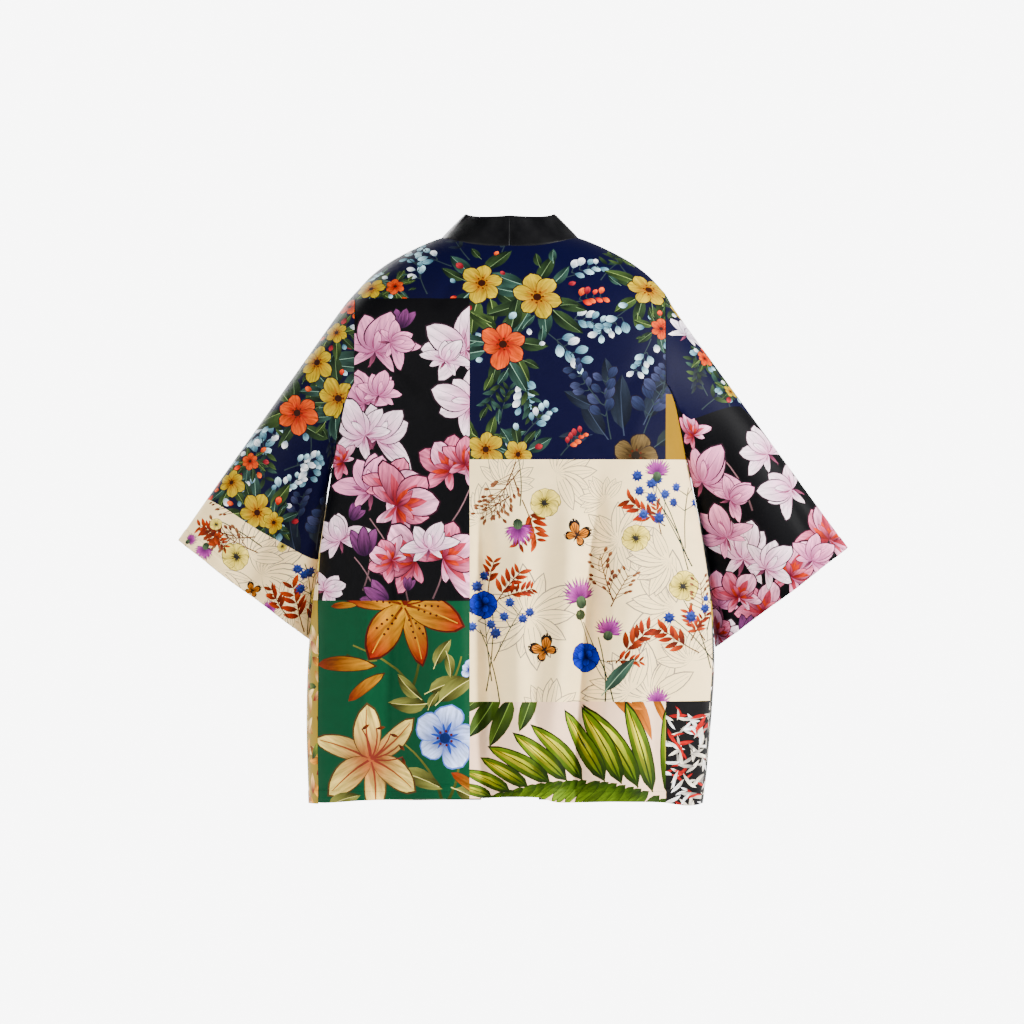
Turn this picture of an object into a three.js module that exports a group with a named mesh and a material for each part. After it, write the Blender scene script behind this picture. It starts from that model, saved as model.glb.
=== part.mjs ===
// Kimono cardigan, hollow, in the form it takes when worn, hanging open down the front.
// Units are millimetres. +Z is up, the front faces -Y and the wearer's left is +X.
// The origin is the middle of the neck, level with the nape seam.

import * as THREE from "three";

// Cloth and seams. An edge is cut back a little more than half the gap, for its wall leans at the seam.
const CLOTH_WALL = 1.2;
const BAND_WALL = 2.4;
const SEAM_GAP = 0.3;
const SEAM_TRIM = 0.3;
const BAND_SETBACK = 0.6;
const FOLDED_SEAM_GAP = 1.9;
const BAND_JOIN_TRIM = 0.52;

// Where the sleeve's first ring turns under the body, and over what height it moves off it
const TURN_UNDER_Z = -137.5;
const TURN_UNDER_RUN = 120;

// Neck and band
const NECK_HALF_WIDTH = 90;
const NECK_HALF_DEPTH = 52;
const NAPE_Z = 4;
const NECK_POINT_Z = 16;
const BAND_WIDTH = 44.5;
const FRONT_EDGE_X = 83;

// Heights that the panels are cut by
const SHOULDER_X = 205.5;
const SHOULDER_Z = -57.5;
const ROUNDING_Z = -178;
const UNDERARM_Z = -300;

// The body's section is a superellipse: x and y are powers of the cosine and sine
const SECTION_POWER = 0.8;

// Steps along and across the panels
const ARMHOLE_ROWS = 12;
const SKIRT_ROWS = 11;
const NECK_COLUMNS = 9;
const SHOULDER_COLUMNS = 13;
const FRONT_COLUMNS = 18;
const SLEEVE_STATIONS = 13;
const BAND_COLUMNS = 3;

// Closeness of the back's columns towards its sides, and of the sleeve's rings towards its armhole
const COLUMN_TURN = 0.35 * Math.PI;
const RING_CLOSENESS = 1.15;

// Folds widen as they fall, and fade over a fifth of a panel from each side
const FOLD_WIDENING = 0.25;
const FADE_SHARE = 0.2;

// Half-widths to the wearer's left and right, and depths behind and in front, by height.
// Above the underarm the widths are those of the round form that the armholes are cut from.
const BODY_SECTIONS = [
  { z: -740, left: 267, right: 255, back: 101, front: 97 },
  { z: -700, left: 268.5, right: 260.5, back: 100, front: 96 },
  { z: -650, left: 270, right: 265, back: 99, front: 95 },
  { z: -600, left: 270, right: 269, back: 98, front: 94 },
  { z: -550, left: 268.5, right: 271.5, back: 98, front: 94 },
  { z: -500, left: 265, right: 270, back: 98, front: 94 },
  { z: -450, left: 259.5, right: 266, back: 99, front: 95 },
  { z: -400, left: 253, right: 258, back: 101, front: 96 },
  { z: -350, left: 245.5, right: 249, back: 103, front: 97 },
  { z: -300, left: 238, right: 239, back: 105, front: 98 },
  { z: -270, left: 237, right: 237.5, back: 107, front: 98 },
  { z: -235, left: 242, right: 242, back: 108, front: 97 },
  { z: -178, left: 254, right: 254, back: 108, front: 94 },
  { z: 60, left: 254, right: 254, back: 108, front: 94 },
];

// How far round the section from the side line the back panel ends, in degrees, by height:
// the armhole above the underarm, and below it the side seam, which swings to the back.
const ARMHOLE_ANGLES = [
  { z: -300, degrees: 0 },
  { z: -285, degrees: 8.5 },
  { z: -270, degrees: 14.4 },
  { z: -235, degrees: 24.5 },
  { z: -202, degrees: 33.2 },
  { z: -178, degrees: 39.9 },
];
const SIDE_SEAM_ANGLES = [
  { z: -740, left: 20.5, right: 11 },
  { z: -600, left: 22, right: 11 },
  { z: -520, left: 20, right: 9.5 },
  { z: -460, left: 14, right: 7.5 },
  { z: -400, left: 7, right: 5 },
  { z: -350, left: 2.5, right: 2.5 },
  { z: -300, left: 0, right: 0 },
];

// Height of the line along the top of the shoulders, by distance from the middle
const SHOULDER_LINE = [
  { x: 0, z: 30 },
  { x: 45, z: 27 },
  { x: 90, z: 16 },
  { x: 114, z: 7 },
  { x: 144, z: -7.5 },
  { x: 165, z: -20 },
  { x: 186, z: -36.5 },
  { x: 205.5, z: -57.5 },
];

// Height of the back hem, from the wearer's right to the left
const BACK_HEM = [
  { x: -260, z: -735 },
  { x: -235, z: -737 },
  { x: -200, z: -732 },
  { x: -140, z: -730.5 },
  { x: -62, z: -731 },
  { x: -40, z: -725 },
  { x: 0, z: -724 },
  { x: 35, z: -725.5 },
  { x: 110, z: -726.5 },
  { x: 190, z: -729 },
  { x: 245, z: -733.5 },
  { x: 260, z: -733 },
];
const FRONT_HEM_Z = -735;

// Long soft folds, hollows negative. Each starts at a height and runs to the hem,
// from one distance across to another, and deepens as it falls.
const BACK_FOLDS = [
  { startX: 44, hemX: 20, startZ: -285, depth: -8, width: 17 },
  { startX: -12, hemX: -14, startZ: -300, depth: 6, width: 20 },
  { startX: -84, hemX: -52, startZ: -215, depth: 7, width: 19 },
  { startX: -127, hemX: -88, startZ: -260, depth: -10, width: 18 },
  { startX: -172, hemX: -160, startZ: -300, depth: 6, width: 24 },
  { startX: 96, hemX: 92, startZ: -330, depth: 5, width: 26 },
  { startX: 146, hemX: 158, startZ: -300, depth: -7, width: 20 },
  { startX: 196, hemX: 206, startZ: -380, depth: 5, width: 20 },
];
const FRONT_LEFT_FOLDS = [
  { startX: 120, hemX: 128, startZ: -190, depth: -8, width: 18 },
  { startX: 162, hemX: 168, startZ: -250, depth: 7, width: 20 },
  { startX: 196, hemX: 208, startZ: -310, depth: -7, width: 17 },
];
const FRONT_RIGHT_FOLDS = [
  { startX: 126, hemX: 118, startZ: -230, depth: -7, width: 19 },
  { startX: 160, hemX: 164, startZ: -200, depth: 8, width: 19 },
  { startX: 200, hemX: 202, startZ: -330, depth: -8, width: 18 },
];

// The sleeve's upper and lower edges from armhole to cuff, its half depth, and how much
// fuller it is above its middle than below
const LEFT_SLEEVE = [
  { along: 0, topX: 205.5, topY: 0, topZ: -57.5, lowX: 238, lowY: 0, lowZ: -300, depth: 74, fuller: 0 },
  { along: 0.05, topX: 219, topY: 0, topZ: -73, lowX: 243, lowY: -4, lowZ: -316, depth: 69, fuller: 0.06 },
  {
    along: 0.25, topX: 268, topY: -3, topZ: -141,
    lowX: 251.5, lowY: -20, lowZ: -364, depth: 57, fuller: 0.16,
  },
  {
    along: 0.5, topX: 326, topY: -8, topZ: -222.5,
    lowX: 256, lowY: -30, lowZ: -416, depth: 50, fuller: 0.22,
  },
  {
    along: 0.75, topX: 384, topY: -14, topZ: -304,
    lowX: 261, lowY: -40, lowZ: -468, depth: 46, fuller: 0.2,
  },
  {
    along: 1, topX: 441.5, topY: -20, topZ: -386,
    lowX: 266, lowY: -48, lowZ: -520, depth: 43, fuller: 0.12,
  },
];
const RIGHT_SLEEVE = [
  { along: 0, topX: 205.5, topY: 0, topZ: -57.5, lowX: 239, lowY: 0, lowZ: -300, depth: 74, fuller: 0 },
  { along: 0.05, topX: 218, topY: 0, topZ: -79, lowX: 244, lowY: -4, lowZ: -316, depth: 69, fuller: 0.06 },
  {
    along: 0.25, topX: 266.5, topY: -3, topZ: -146,
    lowX: 256, lowY: -20, lowZ: -366, depth: 56, fuller: 0.16,
  },
  {
    along: 0.5, topX: 327.5, topY: -8, topZ: -229.5,
    lowX: 263, lowY: -32, lowZ: -420, depth: 49, fuller: 0.22,
  },
  {
    along: 0.75, topX: 388.5, topY: -14, topZ: -313,
    lowX: 267, lowY: -40, lowZ: -475, depth: 46, fuller: 0.2,
  },
  {
    along: 1, topX: 449.5, topY: -20, topZ: -396,
    lowX: 275, lowY: -48, lowZ: -529, depth: 43, fuller: 0.12,
  },
];

// Folds along a sleeve: place round the ring in degrees from the upper edge, towards the back
const LEFT_SLEEVE_FOLDS = [
  { startDegrees: 118, cuffDegrees: 112, from: 0.1, depth: -8, width: 15 },
  { startDegrees: 80, cuffDegrees: 72, from: 0.35, depth: 5, width: 17 },
  { startDegrees: 236, cuffDegrees: 248, from: 0.12, depth: -8, width: 16 },
  { startDegrees: 292, cuffDegrees: 300, from: 0.3, depth: 5, width: 18 },
];
const RIGHT_SLEEVE_FOLDS = [
  { startDegrees: 128, cuffDegrees: 120, from: 0.15, depth: -7, width: 15 },
  { startDegrees: 70, cuffDegrees: 84, from: 0.3, depth: 5, width: 18 },
  { startDegrees: 240, cuffDegrees: 232, from: 0.1, depth: -8, width: 17 },
  { startDegrees: 285, cuffDegrees: 290, from: 0.35, depth: 5, width: 16 },
];
const SLEEVE_BLEND_END = 0.3;

// How the band leans from its seam, by its way from nape (0) to shoulder (1), chest (2) and hem (3)
const BAND_LEAN = [
  { way: 0, inward: 0.4, upward: 0.92 },
  { way: 1, inward: 0.71, upward: 0.71 },
  { way: 1.25, inward: 0.8, upward: 0.6 },
  { way: 1.6, inward: 0.95, upward: 0.3 },
  { way: 2, inward: 1, upward: 0 },
  { way: 3, inward: 1, upward: 0 },
];

// A smooth curve through one column of a table, whose key column rises or falls steadily
function along(table, key, column, value) {
  const rising = table[0][key] < table[table.length - 1][key];
  const rows = rising ? table : [...table].reverse();
  const last = rows.length - 1;
  let i = 0;
  while (i < last - 1 && value > rows[i + 1][key]) {
    i += 1;
  }
  const slope = (a, b) => (rows[b][column] - rows[a][column]) / (rows[b][key] - rows[a][key]);
  const tangent = (k) => slope(Math.max(k - 1, 0), Math.min(k + 1, last));
  const span = rows[i + 1][key] - rows[i][key];
  const t = THREE.MathUtils.clamp((value - rows[i][key]) / span, 0, 1);
  const startLevel = rows[i][column] * (2 * t ** 3 - 3 * t ** 2 + 1);
  const start = startLevel + tangent(i) * span * (t ** 3 - 2 * t ** 2 + t);
  const end = rows[i + 1][column] * (3 * t ** 2 - 2 * t ** 3) + tangent(i + 1) * span * (t ** 3 - t ** 2);
  return start + end;
}

// The body's round form
function halfWidth(side, z) {
  return along(BODY_SECTIONS, "z", side > 0 ? "left" : "right", z);
}

function bodyPoint(side, angle, z) {
  const depth = along(BODY_SECTIONS, "z", angle > 0 ? "back" : "front", z);
  const x = side * halfWidth(side, z) * Math.cos(angle) ** SECTION_POWER;
  const y = Math.sign(angle) * depth * Math.abs(Math.sin(angle)) ** SECTION_POWER;
  return new THREE.Vector3(x, y, z);
}

function angleAtX(side, x, z) {
  const share = Math.min(Math.abs(x) / halfWidth(side, z), 1);
  return Math.acos(share ** (1 / SECTION_POWER));
}

function armholeAngle(z) {
  return THREE.MathUtils.degToRad(along(ARMHOLE_ANGLES, "z", "degrees", z));
}

function seamAngle(side, z) {
  return THREE.MathUtils.degToRad(along(SIDE_SEAM_ANGLES, "z", side > 0 ? "left" : "right", z));
}

// Rows run from the shoulder line down the armhole and on to the hem.
// rounding is the turn over the shoulder, a quarter turn at its top and 0 where the panel hangs.
function panelRows() {
  const rows = [];
  for (let j = 0; j <= ARMHOLE_ROWS; j += 1) {
    const fall = (1 - Math.cos((Math.PI * j) / ARMHOLE_ROWS)) / 2;
    const z = THREE.MathUtils.lerp(SHOULDER_Z, UNDERARM_Z, fall);
    const rise = (z - ROUNDING_Z) / (SHOULDER_Z - ROUNDING_Z);
    rows.push({ z, rounding: rise > 0 ? Math.asin(Math.min(rise, 1)) : 0, toHem: 0 });
  }
  for (let k = 1; k <= SKIRT_ROWS; k += 1) {
    rows.push({ z: UNDERARM_Z, rounding: 0, toHem: k / SKIRT_ROWS });
  }
  return rows;
}

const ROWS = panelRows();
const QUARTER_TURN = Math.PI / 2;

function napeZ(x) {
  return THREE.MathUtils.lerp(NAPE_Z, NECK_POINT_Z, (x / NECK_HALF_WIDTH) ** 2);
}

// A point on the turn over the shoulder, from the point at the foot of the turn
function turnOver(foot, rounding, napeLimited) {
  const distance = Math.abs(foot.x);
  const rise = along(SHOULDER_LINE, "x", "z", distance) - ROUNDING_Z;
  let turn = rounding;
  if (napeLimited && distance < NECK_HALF_WIDTH) {
    turn *= Math.asin(Math.min((napeZ(foot.x) - ROUNDING_Z) / rise, 1)) / QUARTER_TURN;
  }
  return new THREE.Vector3(foot.x, foot.y * Math.cos(turn), ROUNDING_Z + rise * Math.sin(turn));
}

function smooth(value) {
  const t = THREE.MathUtils.clamp(value, 0, 1);
  return t * t * (3 - 2 * t);
}

function foldHeight(folds, x, z) {
  let height = 0;
  for (const fold of folds) {
    const fall = THREE.MathUtils.clamp((fold.startZ - z) / (fold.startZ - FRONT_HEM_Z), 0, 1);
    const centre = THREE.MathUtils.lerp(fold.startX, fold.hemX, fall);
    const width = fold.width * (1 + FOLD_WIDENING * fall);
    height += fold.depth * smooth(2 * fall) * Math.exp(-(((x - centre) / width) ** 2));
  }
  return height;
}

// Back panel: a grid of points, row by row, from the wearer's right to the left
function backColumns() {
  const right = [];
    for (let i = 0; i < NECK_COLUMNS; i += 1) {
    right.push((NECK_HALF_WIDTH * i) / NECK_COLUMNS);
  }
  for (let i = 0; i <= SHOULDER_COLUMNS; i += 1) {
    const share = Math.sin((COLUMN_TURN * i) / SHOULDER_COLUMNS) / Math.sin(COLUMN_TURN);
    right.push(THREE.MathUtils.lerp(NECK_HALF_WIDTH, SHOULDER_X, share));
  }
  const left = right.slice(1);
  return [...left.map((x) => -x).reverse(), ...right];
}

const BACK_COLUMNS = backColumns();

function backPoint(row, column) {
  const side = column < 0 ? -1 : 1;
  const share = Math.abs(column) / SHOULDER_X;
  if (row.rounding > 0) {
    const foot = bodyPoint(side, angleAtX(side, column, ROUNDING_Z), ROUNDING_Z);
    return turnOver(foot, row.rounding, true);
  }
  let z = row.z;
  if (row.toHem > 0) {
    const hem = along(BACK_HEM, "x", "z", (column / SHOULDER_X) * halfWidth(side, FRONT_HEM_Z));
    z = THREE.MathUtils.lerp(UNDERARM_Z, hem, row.toHem);
  }
  const edgeAngle = row.toHem > 0 ? seamAngle(side, z) : armholeAngle(z);
  const edgeX = Math.abs(bodyPoint(side, edgeAngle, z).x);
  const angle = share === 1 ? edgeAngle : angleAtX(side, edgeX * share, z);
  return bodyPoint(side, angle, z);
}

function backGrid() {
  const grid = ROWS.map((row) => BACK_COLUMNS.map((column) => backPoint(row, column)));
  return pushFolds(grid, BACK_FOLDS);
}

// Front panel: a grid of points, row by row, from the front edge round to the side
function frontEdgeX(row) {
  return THREE.MathUtils.lerp(FRONT_EDGE_X, NECK_HALF_WIDTH, (row.rounding / QUARTER_TURN) ** 2);
}

function frontPoint(side, row, share) {
  if (row.rounding > 0) {
    const edge = angleAtX(side, frontEdgeX(row), ROUNDING_Z);
    const angle = THREE.MathUtils.lerp(edge, armholeAngle(ROUNDING_Z), share);
    return turnOver(bodyPoint(side, -angle, ROUNDING_Z), row.rounding, false);
  }
  const z = THREE.MathUtils.lerp(row.z, FRONT_HEM_Z, row.toHem);
  const edge = angleAtX(side, FRONT_EDGE_X, z);
  const end = row.toHem > 0 ? -seamAngle(side, sideSeamZ(side, row)) : armholeAngle(z);
  const seamZ = row.toHem > 0 ? sideSeamZ(side, row) : z;
  const angle = THREE.MathUtils.lerp(edge, end, share);
  return bodyPoint(side, -angle, THREE.MathUtils.lerp(z, seamZ, smooth(share)));
}

// The height of the side seam's point in a row, which both panels share
function sideSeamZ(side, row) {
  const hem = along(BACK_HEM, "x", "z", side * halfWidth(side, FRONT_HEM_Z));
  return THREE.MathUtils.lerp(UNDERARM_Z, hem, row.toHem);
}

function frontGrid(side, folds) {
  const shares = Array.from({ length: FRONT_COLUMNS + 1 }, (_, i) => i / FRONT_COLUMNS);
  const grid = ROWS.map((row) => shares.map((share) => frontPoint(side, row, share)));
  return pushFolds(grid, folds);
}

// Surface normals of a grid, from the points on either side
function gridNormals(grid, closed, outward) {
  const rows = grid.length;
  const columns = grid[0].length;
  return grid.map((line, j) =>
    line.map((point, i) => {
      const next = closed ? (i + 1) % columns : Math.min(i + 1, columns - 1);
      const before = closed ? (i + columns - 1) % columns : Math.max(i - 1, 0);
      const across = new THREE.Vector3().subVectors(line[next], line[before]);
      const down = new THREE.Vector3().subVectors(
        grid[Math.min(j + 1, rows - 1)][i],
        grid[Math.max(j - 1, 0)][i],
      );
      return across.cross(down).normalize().multiplyScalar(outward);
    }),
  );
}

// Which way a grid's normals must turn so that they point away from a line inside the garment
function outwardSign(grid, closed, inside) {
  const normals = gridNormals(grid, closed, 1);
  const j = Math.floor(grid.length / 2);
  const i = Math.floor(grid[0].length / 4);
  const away = new THREE.Vector3().subVectors(grid[j][i], inside);
  return Math.sign(normals[j][i].dot(away));
}

// Folds push the panel in and out, and fade where it is sewn at its sides
function pushFolds(grid, folds) {
  const inside = new THREE.Vector3(grid[0][0].x * 0.5, 0, UNDERARM_Z);
  const normals = gridNormals(grid, false, outwardSign(grid, false, inside));
  const last = grid[0].length - 1;
  return grid.map((line, j) =>
    line.map((point, i) => {
      const fade = smooth(i / last / FADE_SHARE) * smooth((last - i) / last / FADE_SHARE);
      const height = fade * foldHeight(folds, Math.abs(point.x) * foldSide(folds, point.x), point.z);
      return point.clone().addScaledVector(normals[j][i], height);
    }),
  );
}

// Back folds are placed from right to left, and front folds by distance from the middle
function foldSide(folds, x) {
  return folds === BACK_FOLDS ? Math.sign(x) : 1;
}

// Sleeve: rings that start on the armhole's own points
function armholePoint(side, row, back) {
  if (row.rounding > 0) {
    const angle = armholeAngle(ROUNDING_Z);
    return turnOver(bodyPoint(side, back * angle, ROUNDING_Z), row.rounding, false);
  }
  return bodyPoint(side, back * armholeAngle(row.z), row.z);
}

function sleeveRing(side, table, share) {
  const at = (column) => along(table, "along", column, share);
  const top = new THREE.Vector3(side * at("topX"), at("topY"), at("topZ"));
  const low = new THREE.Vector3(side * at("lowX"), at("lowY"), at("lowZ"));
  const centre = new THREE.Vector3().addVectors(top, low).multiplyScalar(0.5);
  const half = new THREE.Vector3().subVectors(top, low).multiplyScalar(0.5);
  const points = [];
  for (let i = 0; i < 2 * ARMHOLE_ROWS; i += 1) {
    const turn = (Math.PI * i) / ARMHOLE_ROWS;
    const point = centre.clone().addScaledVector(half, Math.cos(turn));
    point.y += at("depth") * Math.sin(turn) * (1 + at("fuller") * Math.cos(turn));
    points.push(point);
  }
  return points;
}

function armholeRing(side) {
  const ring = [];
  for (let i = 0; i < 2 * ARMHOLE_ROWS; i += 1) {
    const back = i <= ARMHOLE_ROWS ? 1 : -1;
    const row = ROWS[back > 0 ? i : 2 * ARMHOLE_ROWS - i];
    const point = armholePoint(side, row, back);
    const folded = smooth((TURN_UNDER_Z - point.z) / TURN_UNDER_RUN);
    point.x += side * THREE.MathUtils.lerp(SEAM_GAP, FOLDED_SEAM_GAP, folded);
    ring.push(point);
  }
  return ring;
}

function sleeveGrid(side, table, folds) {
  const start = armholeRing(side);
  const grid = [];
  for (let j = 0; j <= SLEEVE_STATIONS; j += 1) {
    const share = (j / SLEEVE_STATIONS) ** RING_CLOSENESS;
    const blend = smooth(share / SLEEVE_BLEND_END);
    const ring = sleeveRing(side, table, share);
    const carried = sleeveRing(side, table, 0);
    grid.push(ring.map((point, i) => {
      const offset = new THREE.Vector3().subVectors(start[i], carried[i]);
      return point.clone().addScaledVector(offset, 1 - blend);
    }));
  }
  return pushSleeveFolds(side, table, grid, folds);
}

function pushSleeveFolds(side, table, grid, folds) {
  const normals = gridNormals(grid, true, side);
  return grid.map((ring, j) =>
    ring.map((point, i) => {
      const share = j / SLEEVE_STATIONS;
      const degrees = (180 * i) / ARMHOLE_ROWS;
      let height = 0;
      for (const fold of folds) {
        const way = THREE.MathUtils.clamp((share - fold.from) / (1 - fold.from), 0, 1);
        const centre = THREE.MathUtils.lerp(fold.startDegrees, fold.cuffDegrees, way);
        height += fold.depth * smooth(2 * way) * Math.exp(-(((degrees - centre) / fold.width) ** 2));
      }
      return point.clone().addScaledVector(normals[j][i], height);
    }),
  );
}

// Neckband: a strip from the nape over the shoulder and down the front edge to the hem
function bandStations(side) {
  const stations = [];
  for (let i = 0; i < NECK_COLUMNS; i += 1) {
    const column = (side * NECK_HALF_WIDTH * i) / NECK_COLUMNS;
    stations.push({ seam: backPoint(ROWS[0], column), way: i / NECK_COLUMNS });
  }
  for (const row of ROWS) {
    const seam = frontPoint(side, row, 0);
    const chest = (NECK_POINT_Z - seam.z) / (NECK_POINT_Z - ROUNDING_Z);
    const skirt = (ROUNDING_Z - seam.z) / (ROUNDING_Z - FRONT_HEM_Z);
    stations.push({ seam, way: seam.z > ROUNDING_Z ? 1 + chest : 2 + skirt });
  }
  return stations;
}

// Towards the middle of the opening, level: round the neck at the back, across the chest in front
function inwardDirection(side, seam, way) {
  const inward = new THREE.Vector3(-side, 0, 0);
  if (way < 1) {
    inward.set(-seam.x / NECK_HALF_WIDTH ** 2, -seam.y / NECK_HALF_DEPTH ** 2, 0).normalize();
  } else {
    const edge = bodyPoint(side, -angleAtX(side, FRONT_EDGE_X, seam.z), seam.z);
    const inner = bodyPoint(side, -angleAtX(side, FRONT_EDGE_X - BAND_WIDTH, seam.z), seam.z);
    const chestward = new THREE.Vector3().subVectors(inner, edge).normalize();
    inward.lerp(chestward, smooth(way - 1)).normalize();
  }
  return inward;
}

function bandGrid(side) {
  const stations = bandStations(side);
  const last = stations.length - 1;
  return stations.map((station, j) => {
    const before = stations[Math.max(j - 1, 0)].seam;
    const after = stations[Math.min(j + 1, last)].seam;
    const onward = new THREE.Vector3().subVectors(after, before);
    if (j === 0) {
      onward.set(side, 0, 0);
    }
    onward.normalize();
    const lean = inwardDirection(side, station.seam, station.way);
    lean.multiplyScalar(along(BAND_LEAN, "way", "inward", station.way));
    lean.z += along(BAND_LEAN, "way", "upward", station.way);
    lean.addScaledVector(onward, -lean.dot(onward)).normalize();
    const line = [];
    for (let i = 0; i <= BAND_COLUMNS; i += 1) {
      const reach = THREE.MathUtils.lerp(BAND_SETBACK, BAND_WIDTH, i / BAND_COLUMNS);
      line.push(station.seam.clone().addScaledVector(lean, reach));
    }
    return line;
  });
}

// A grid's edge is cut back from its seam: "top", "foot", "first" or "last"
function trim(grid, edge, amount) {
  const shift = (point, towards) => {
    const step = new THREE.Vector3().subVectors(towards, point).normalize();
    point.addScaledVector(step, amount);
  };
  const rows = grid.length;
  const columns = grid[0].length;
  if (edge === "top") {
    grid[0].forEach((point, i) => shift(point, grid[1][i]));
  } else if (edge === "foot") {
    grid[rows - 1].forEach((point, i) => shift(point, grid[rows - 2][i]));
  } else if (edge === "first") {
    grid.forEach((line) => shift(line[0], line[1]));
  } else {
    grid.forEach((line) => shift(line[columns - 1], line[columns - 2]));
  }
  return grid;
}

// A closed wall round a grid of mid-surface points
function wall(grid, thickness, closed, outward) {
  const rows = grid.length;
  const columns = grid[0].length;
  const normals = gridNormals(grid, closed, outward);
  const positions = [];
  for (const layer of [0.5, -0.5]) {
    grid.forEach((line, j) => line.forEach((point, i) => {
      const moved = point.clone().addScaledVector(normals[j][i], layer * thickness);
      positions.push(moved.x, moved.y, moved.z);
    }));
  }
  const inner = rows * columns;
  const index = [];
  const quad = (a, b, c, d) => index.push(a, b, c, a, c, d);
  const steps = closed ? columns : columns - 1;
  const at = (j, i) => j * columns + (i % columns);
  for (let j = 0; j < rows - 1; j += 1) {
    for (let i = 0; i < steps; i += 1) {
      quad(at(j, i), at(j, i + 1), at(j + 1, i + 1), at(j + 1, i));
      quad(inner + at(j, i), inner + at(j + 1, i), inner + at(j + 1, i + 1), inner + at(j, i + 1));
    }
  }
  for (let i = 0; i < steps; i += 1) {
    const foot = rows - 1;
    quad(at(0, i), inner + at(0, i), inner + at(0, i + 1), at(0, i + 1));
    quad(at(foot, i), at(foot, i + 1), inner + at(foot, i + 1), inner + at(foot, i));
  }
  for (let j = 0; j < rows - 1 && !closed; j += 1) {
    const edge = columns - 1;
    quad(at(j, 0), at(j + 1, 0), inner + at(j + 1, 0), inner + at(j, 0));
    quad(at(j, edge), inner + at(j, edge), inner + at(j + 1, edge), at(j + 1, edge));
  }
  return orient(positions, index);
}

// Turns the faces outward if they enclose a negative volume
function orient(positions, index) {
  const corner = (k) => new THREE.Vector3().fromArray(positions, 3 * index[k]);
  let volume = 0;
  for (let k = 0; k < index.length; k += 3) {
    volume += corner(k).dot(corner(k + 1).cross(corner(k + 2)));
  }
  const facing = volume > 0 ? index : [...index].reverse();
  const geometry = new THREE.BufferGeometry();
  geometry.setAttribute("position", new THREE.Float32BufferAttribute(positions, 3));
  geometry.setIndex(facing);
  geometry.computeVertexNormals();
  return geometry;
}

function addPiece(group, name, geometry, color, roughness) {
  const material = new THREE.MeshStandardMaterial({ color, roughness, metalness: 0 });
  const mesh = new THREE.Mesh(geometry, material);
  mesh.name = name;
  group.add(mesh);
}

function panel(grid, inside, edges) {
  const outward = outwardSign(grid, false, inside);
  for (const edge of edges) {
    trim(grid, edge, SEAM_TRIM);
  }
  return wall(grid, CLOTH_WALL, false, outward);
}

const cardigan = new THREE.Group();
const BODY_CENTRE = new THREE.Vector3(0, 0, UNDERARM_Z);
const HALF_SIDES = [
  {
    name: "left", side: 1, folds: FRONT_LEFT_FOLDS,
    sleeve: LEFT_SLEEVE, sleeveFolds: LEFT_SLEEVE_FOLDS,
  },
  {
    name: "right", side: -1, folds: FRONT_RIGHT_FOLDS,
    sleeve: RIGHT_SLEEVE, sleeveFolds: RIGHT_SLEEVE_FOLDS,
  },
];

addPiece(cardigan, "back", panel(backGrid(), BODY_CENTRE, ["top", "first", "last"]), 0xe9dfcf, 0.72);
for (const half of HALF_SIDES) {
  const front = panel(frontGrid(half.side, half.folds), BODY_CENTRE, ["top", "last"]);
  addPiece(cardigan, `front_${half.name}`, front, 0x1b1e4e, 0.72);
  const sleeve = sleeveGrid(half.side, half.sleeve, half.sleeveFolds);
  addPiece(cardigan, `sleeve_${half.name}`, wall(sleeve, CLOTH_WALL, true, half.side), 0x14163a, 0.72);
  const band = trim(bandGrid(half.side), "top", BAND_JOIN_TRIM);
  addPiece(cardigan, `neckband_${half.name}`, wall(band, BAND_WALL, false, half.side), 0x121214, 0.5);
}

export default cardigan;
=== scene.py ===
import math
import random
from collections import namedtuple

import bpy
import numpy as np
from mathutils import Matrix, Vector
from mathutils.geometry import delaunay_2d_cdt


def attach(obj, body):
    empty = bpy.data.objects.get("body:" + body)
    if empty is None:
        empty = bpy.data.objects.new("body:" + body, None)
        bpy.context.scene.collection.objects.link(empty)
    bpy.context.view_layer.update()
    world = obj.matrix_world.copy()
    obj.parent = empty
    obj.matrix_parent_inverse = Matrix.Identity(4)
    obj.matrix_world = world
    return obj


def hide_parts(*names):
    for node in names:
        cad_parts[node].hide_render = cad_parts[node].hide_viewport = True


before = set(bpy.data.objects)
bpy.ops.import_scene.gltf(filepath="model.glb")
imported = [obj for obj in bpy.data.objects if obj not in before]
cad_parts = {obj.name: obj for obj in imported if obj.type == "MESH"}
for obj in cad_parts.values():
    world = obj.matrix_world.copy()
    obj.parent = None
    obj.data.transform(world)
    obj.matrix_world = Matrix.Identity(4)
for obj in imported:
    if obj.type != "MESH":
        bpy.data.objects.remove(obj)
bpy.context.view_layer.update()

# Kimono cardigan in printed cloth with a satin neckband, hanging open as worn.
# Sizes are in millimetres, and MM turns them into the scene's metres. +Z is up, the back faces +Y.
MM = 0.001
CLOTH = 0.9
BAND_CLOTH = 2.2
SEED = 7

# The photograph's plane: one pixel is PIXEL mm, and this pixel lies on the middle of the neck
PIXEL = 1.33
MIDDLE_X = 510
MIDDLE_Y = 250
PHOTO_SIZE = 1024

# The cut, as in the solids
NECK_HALF_WIDTH = 90
NAPE_Z = 4
NECK_POINT_Z = 16
NECK_HALF_DEPTH = 52
FRONT_EDGE_X = 83
BAND_WIDTH = 44.5
BAND_OVERLAP = 2.2
SHOULDER_X = 205.5
SHOULDER_Z = -57.5
ROUNDING_Z = -178
UNDERARM_Z = -300
HEM_Z = -735
SECTION_POWER = 0.8
QUARTER_TURN = math.pi / 2
SEAM_TRIM = 0.3
SHOULDER_TRIM = 0.05

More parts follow.
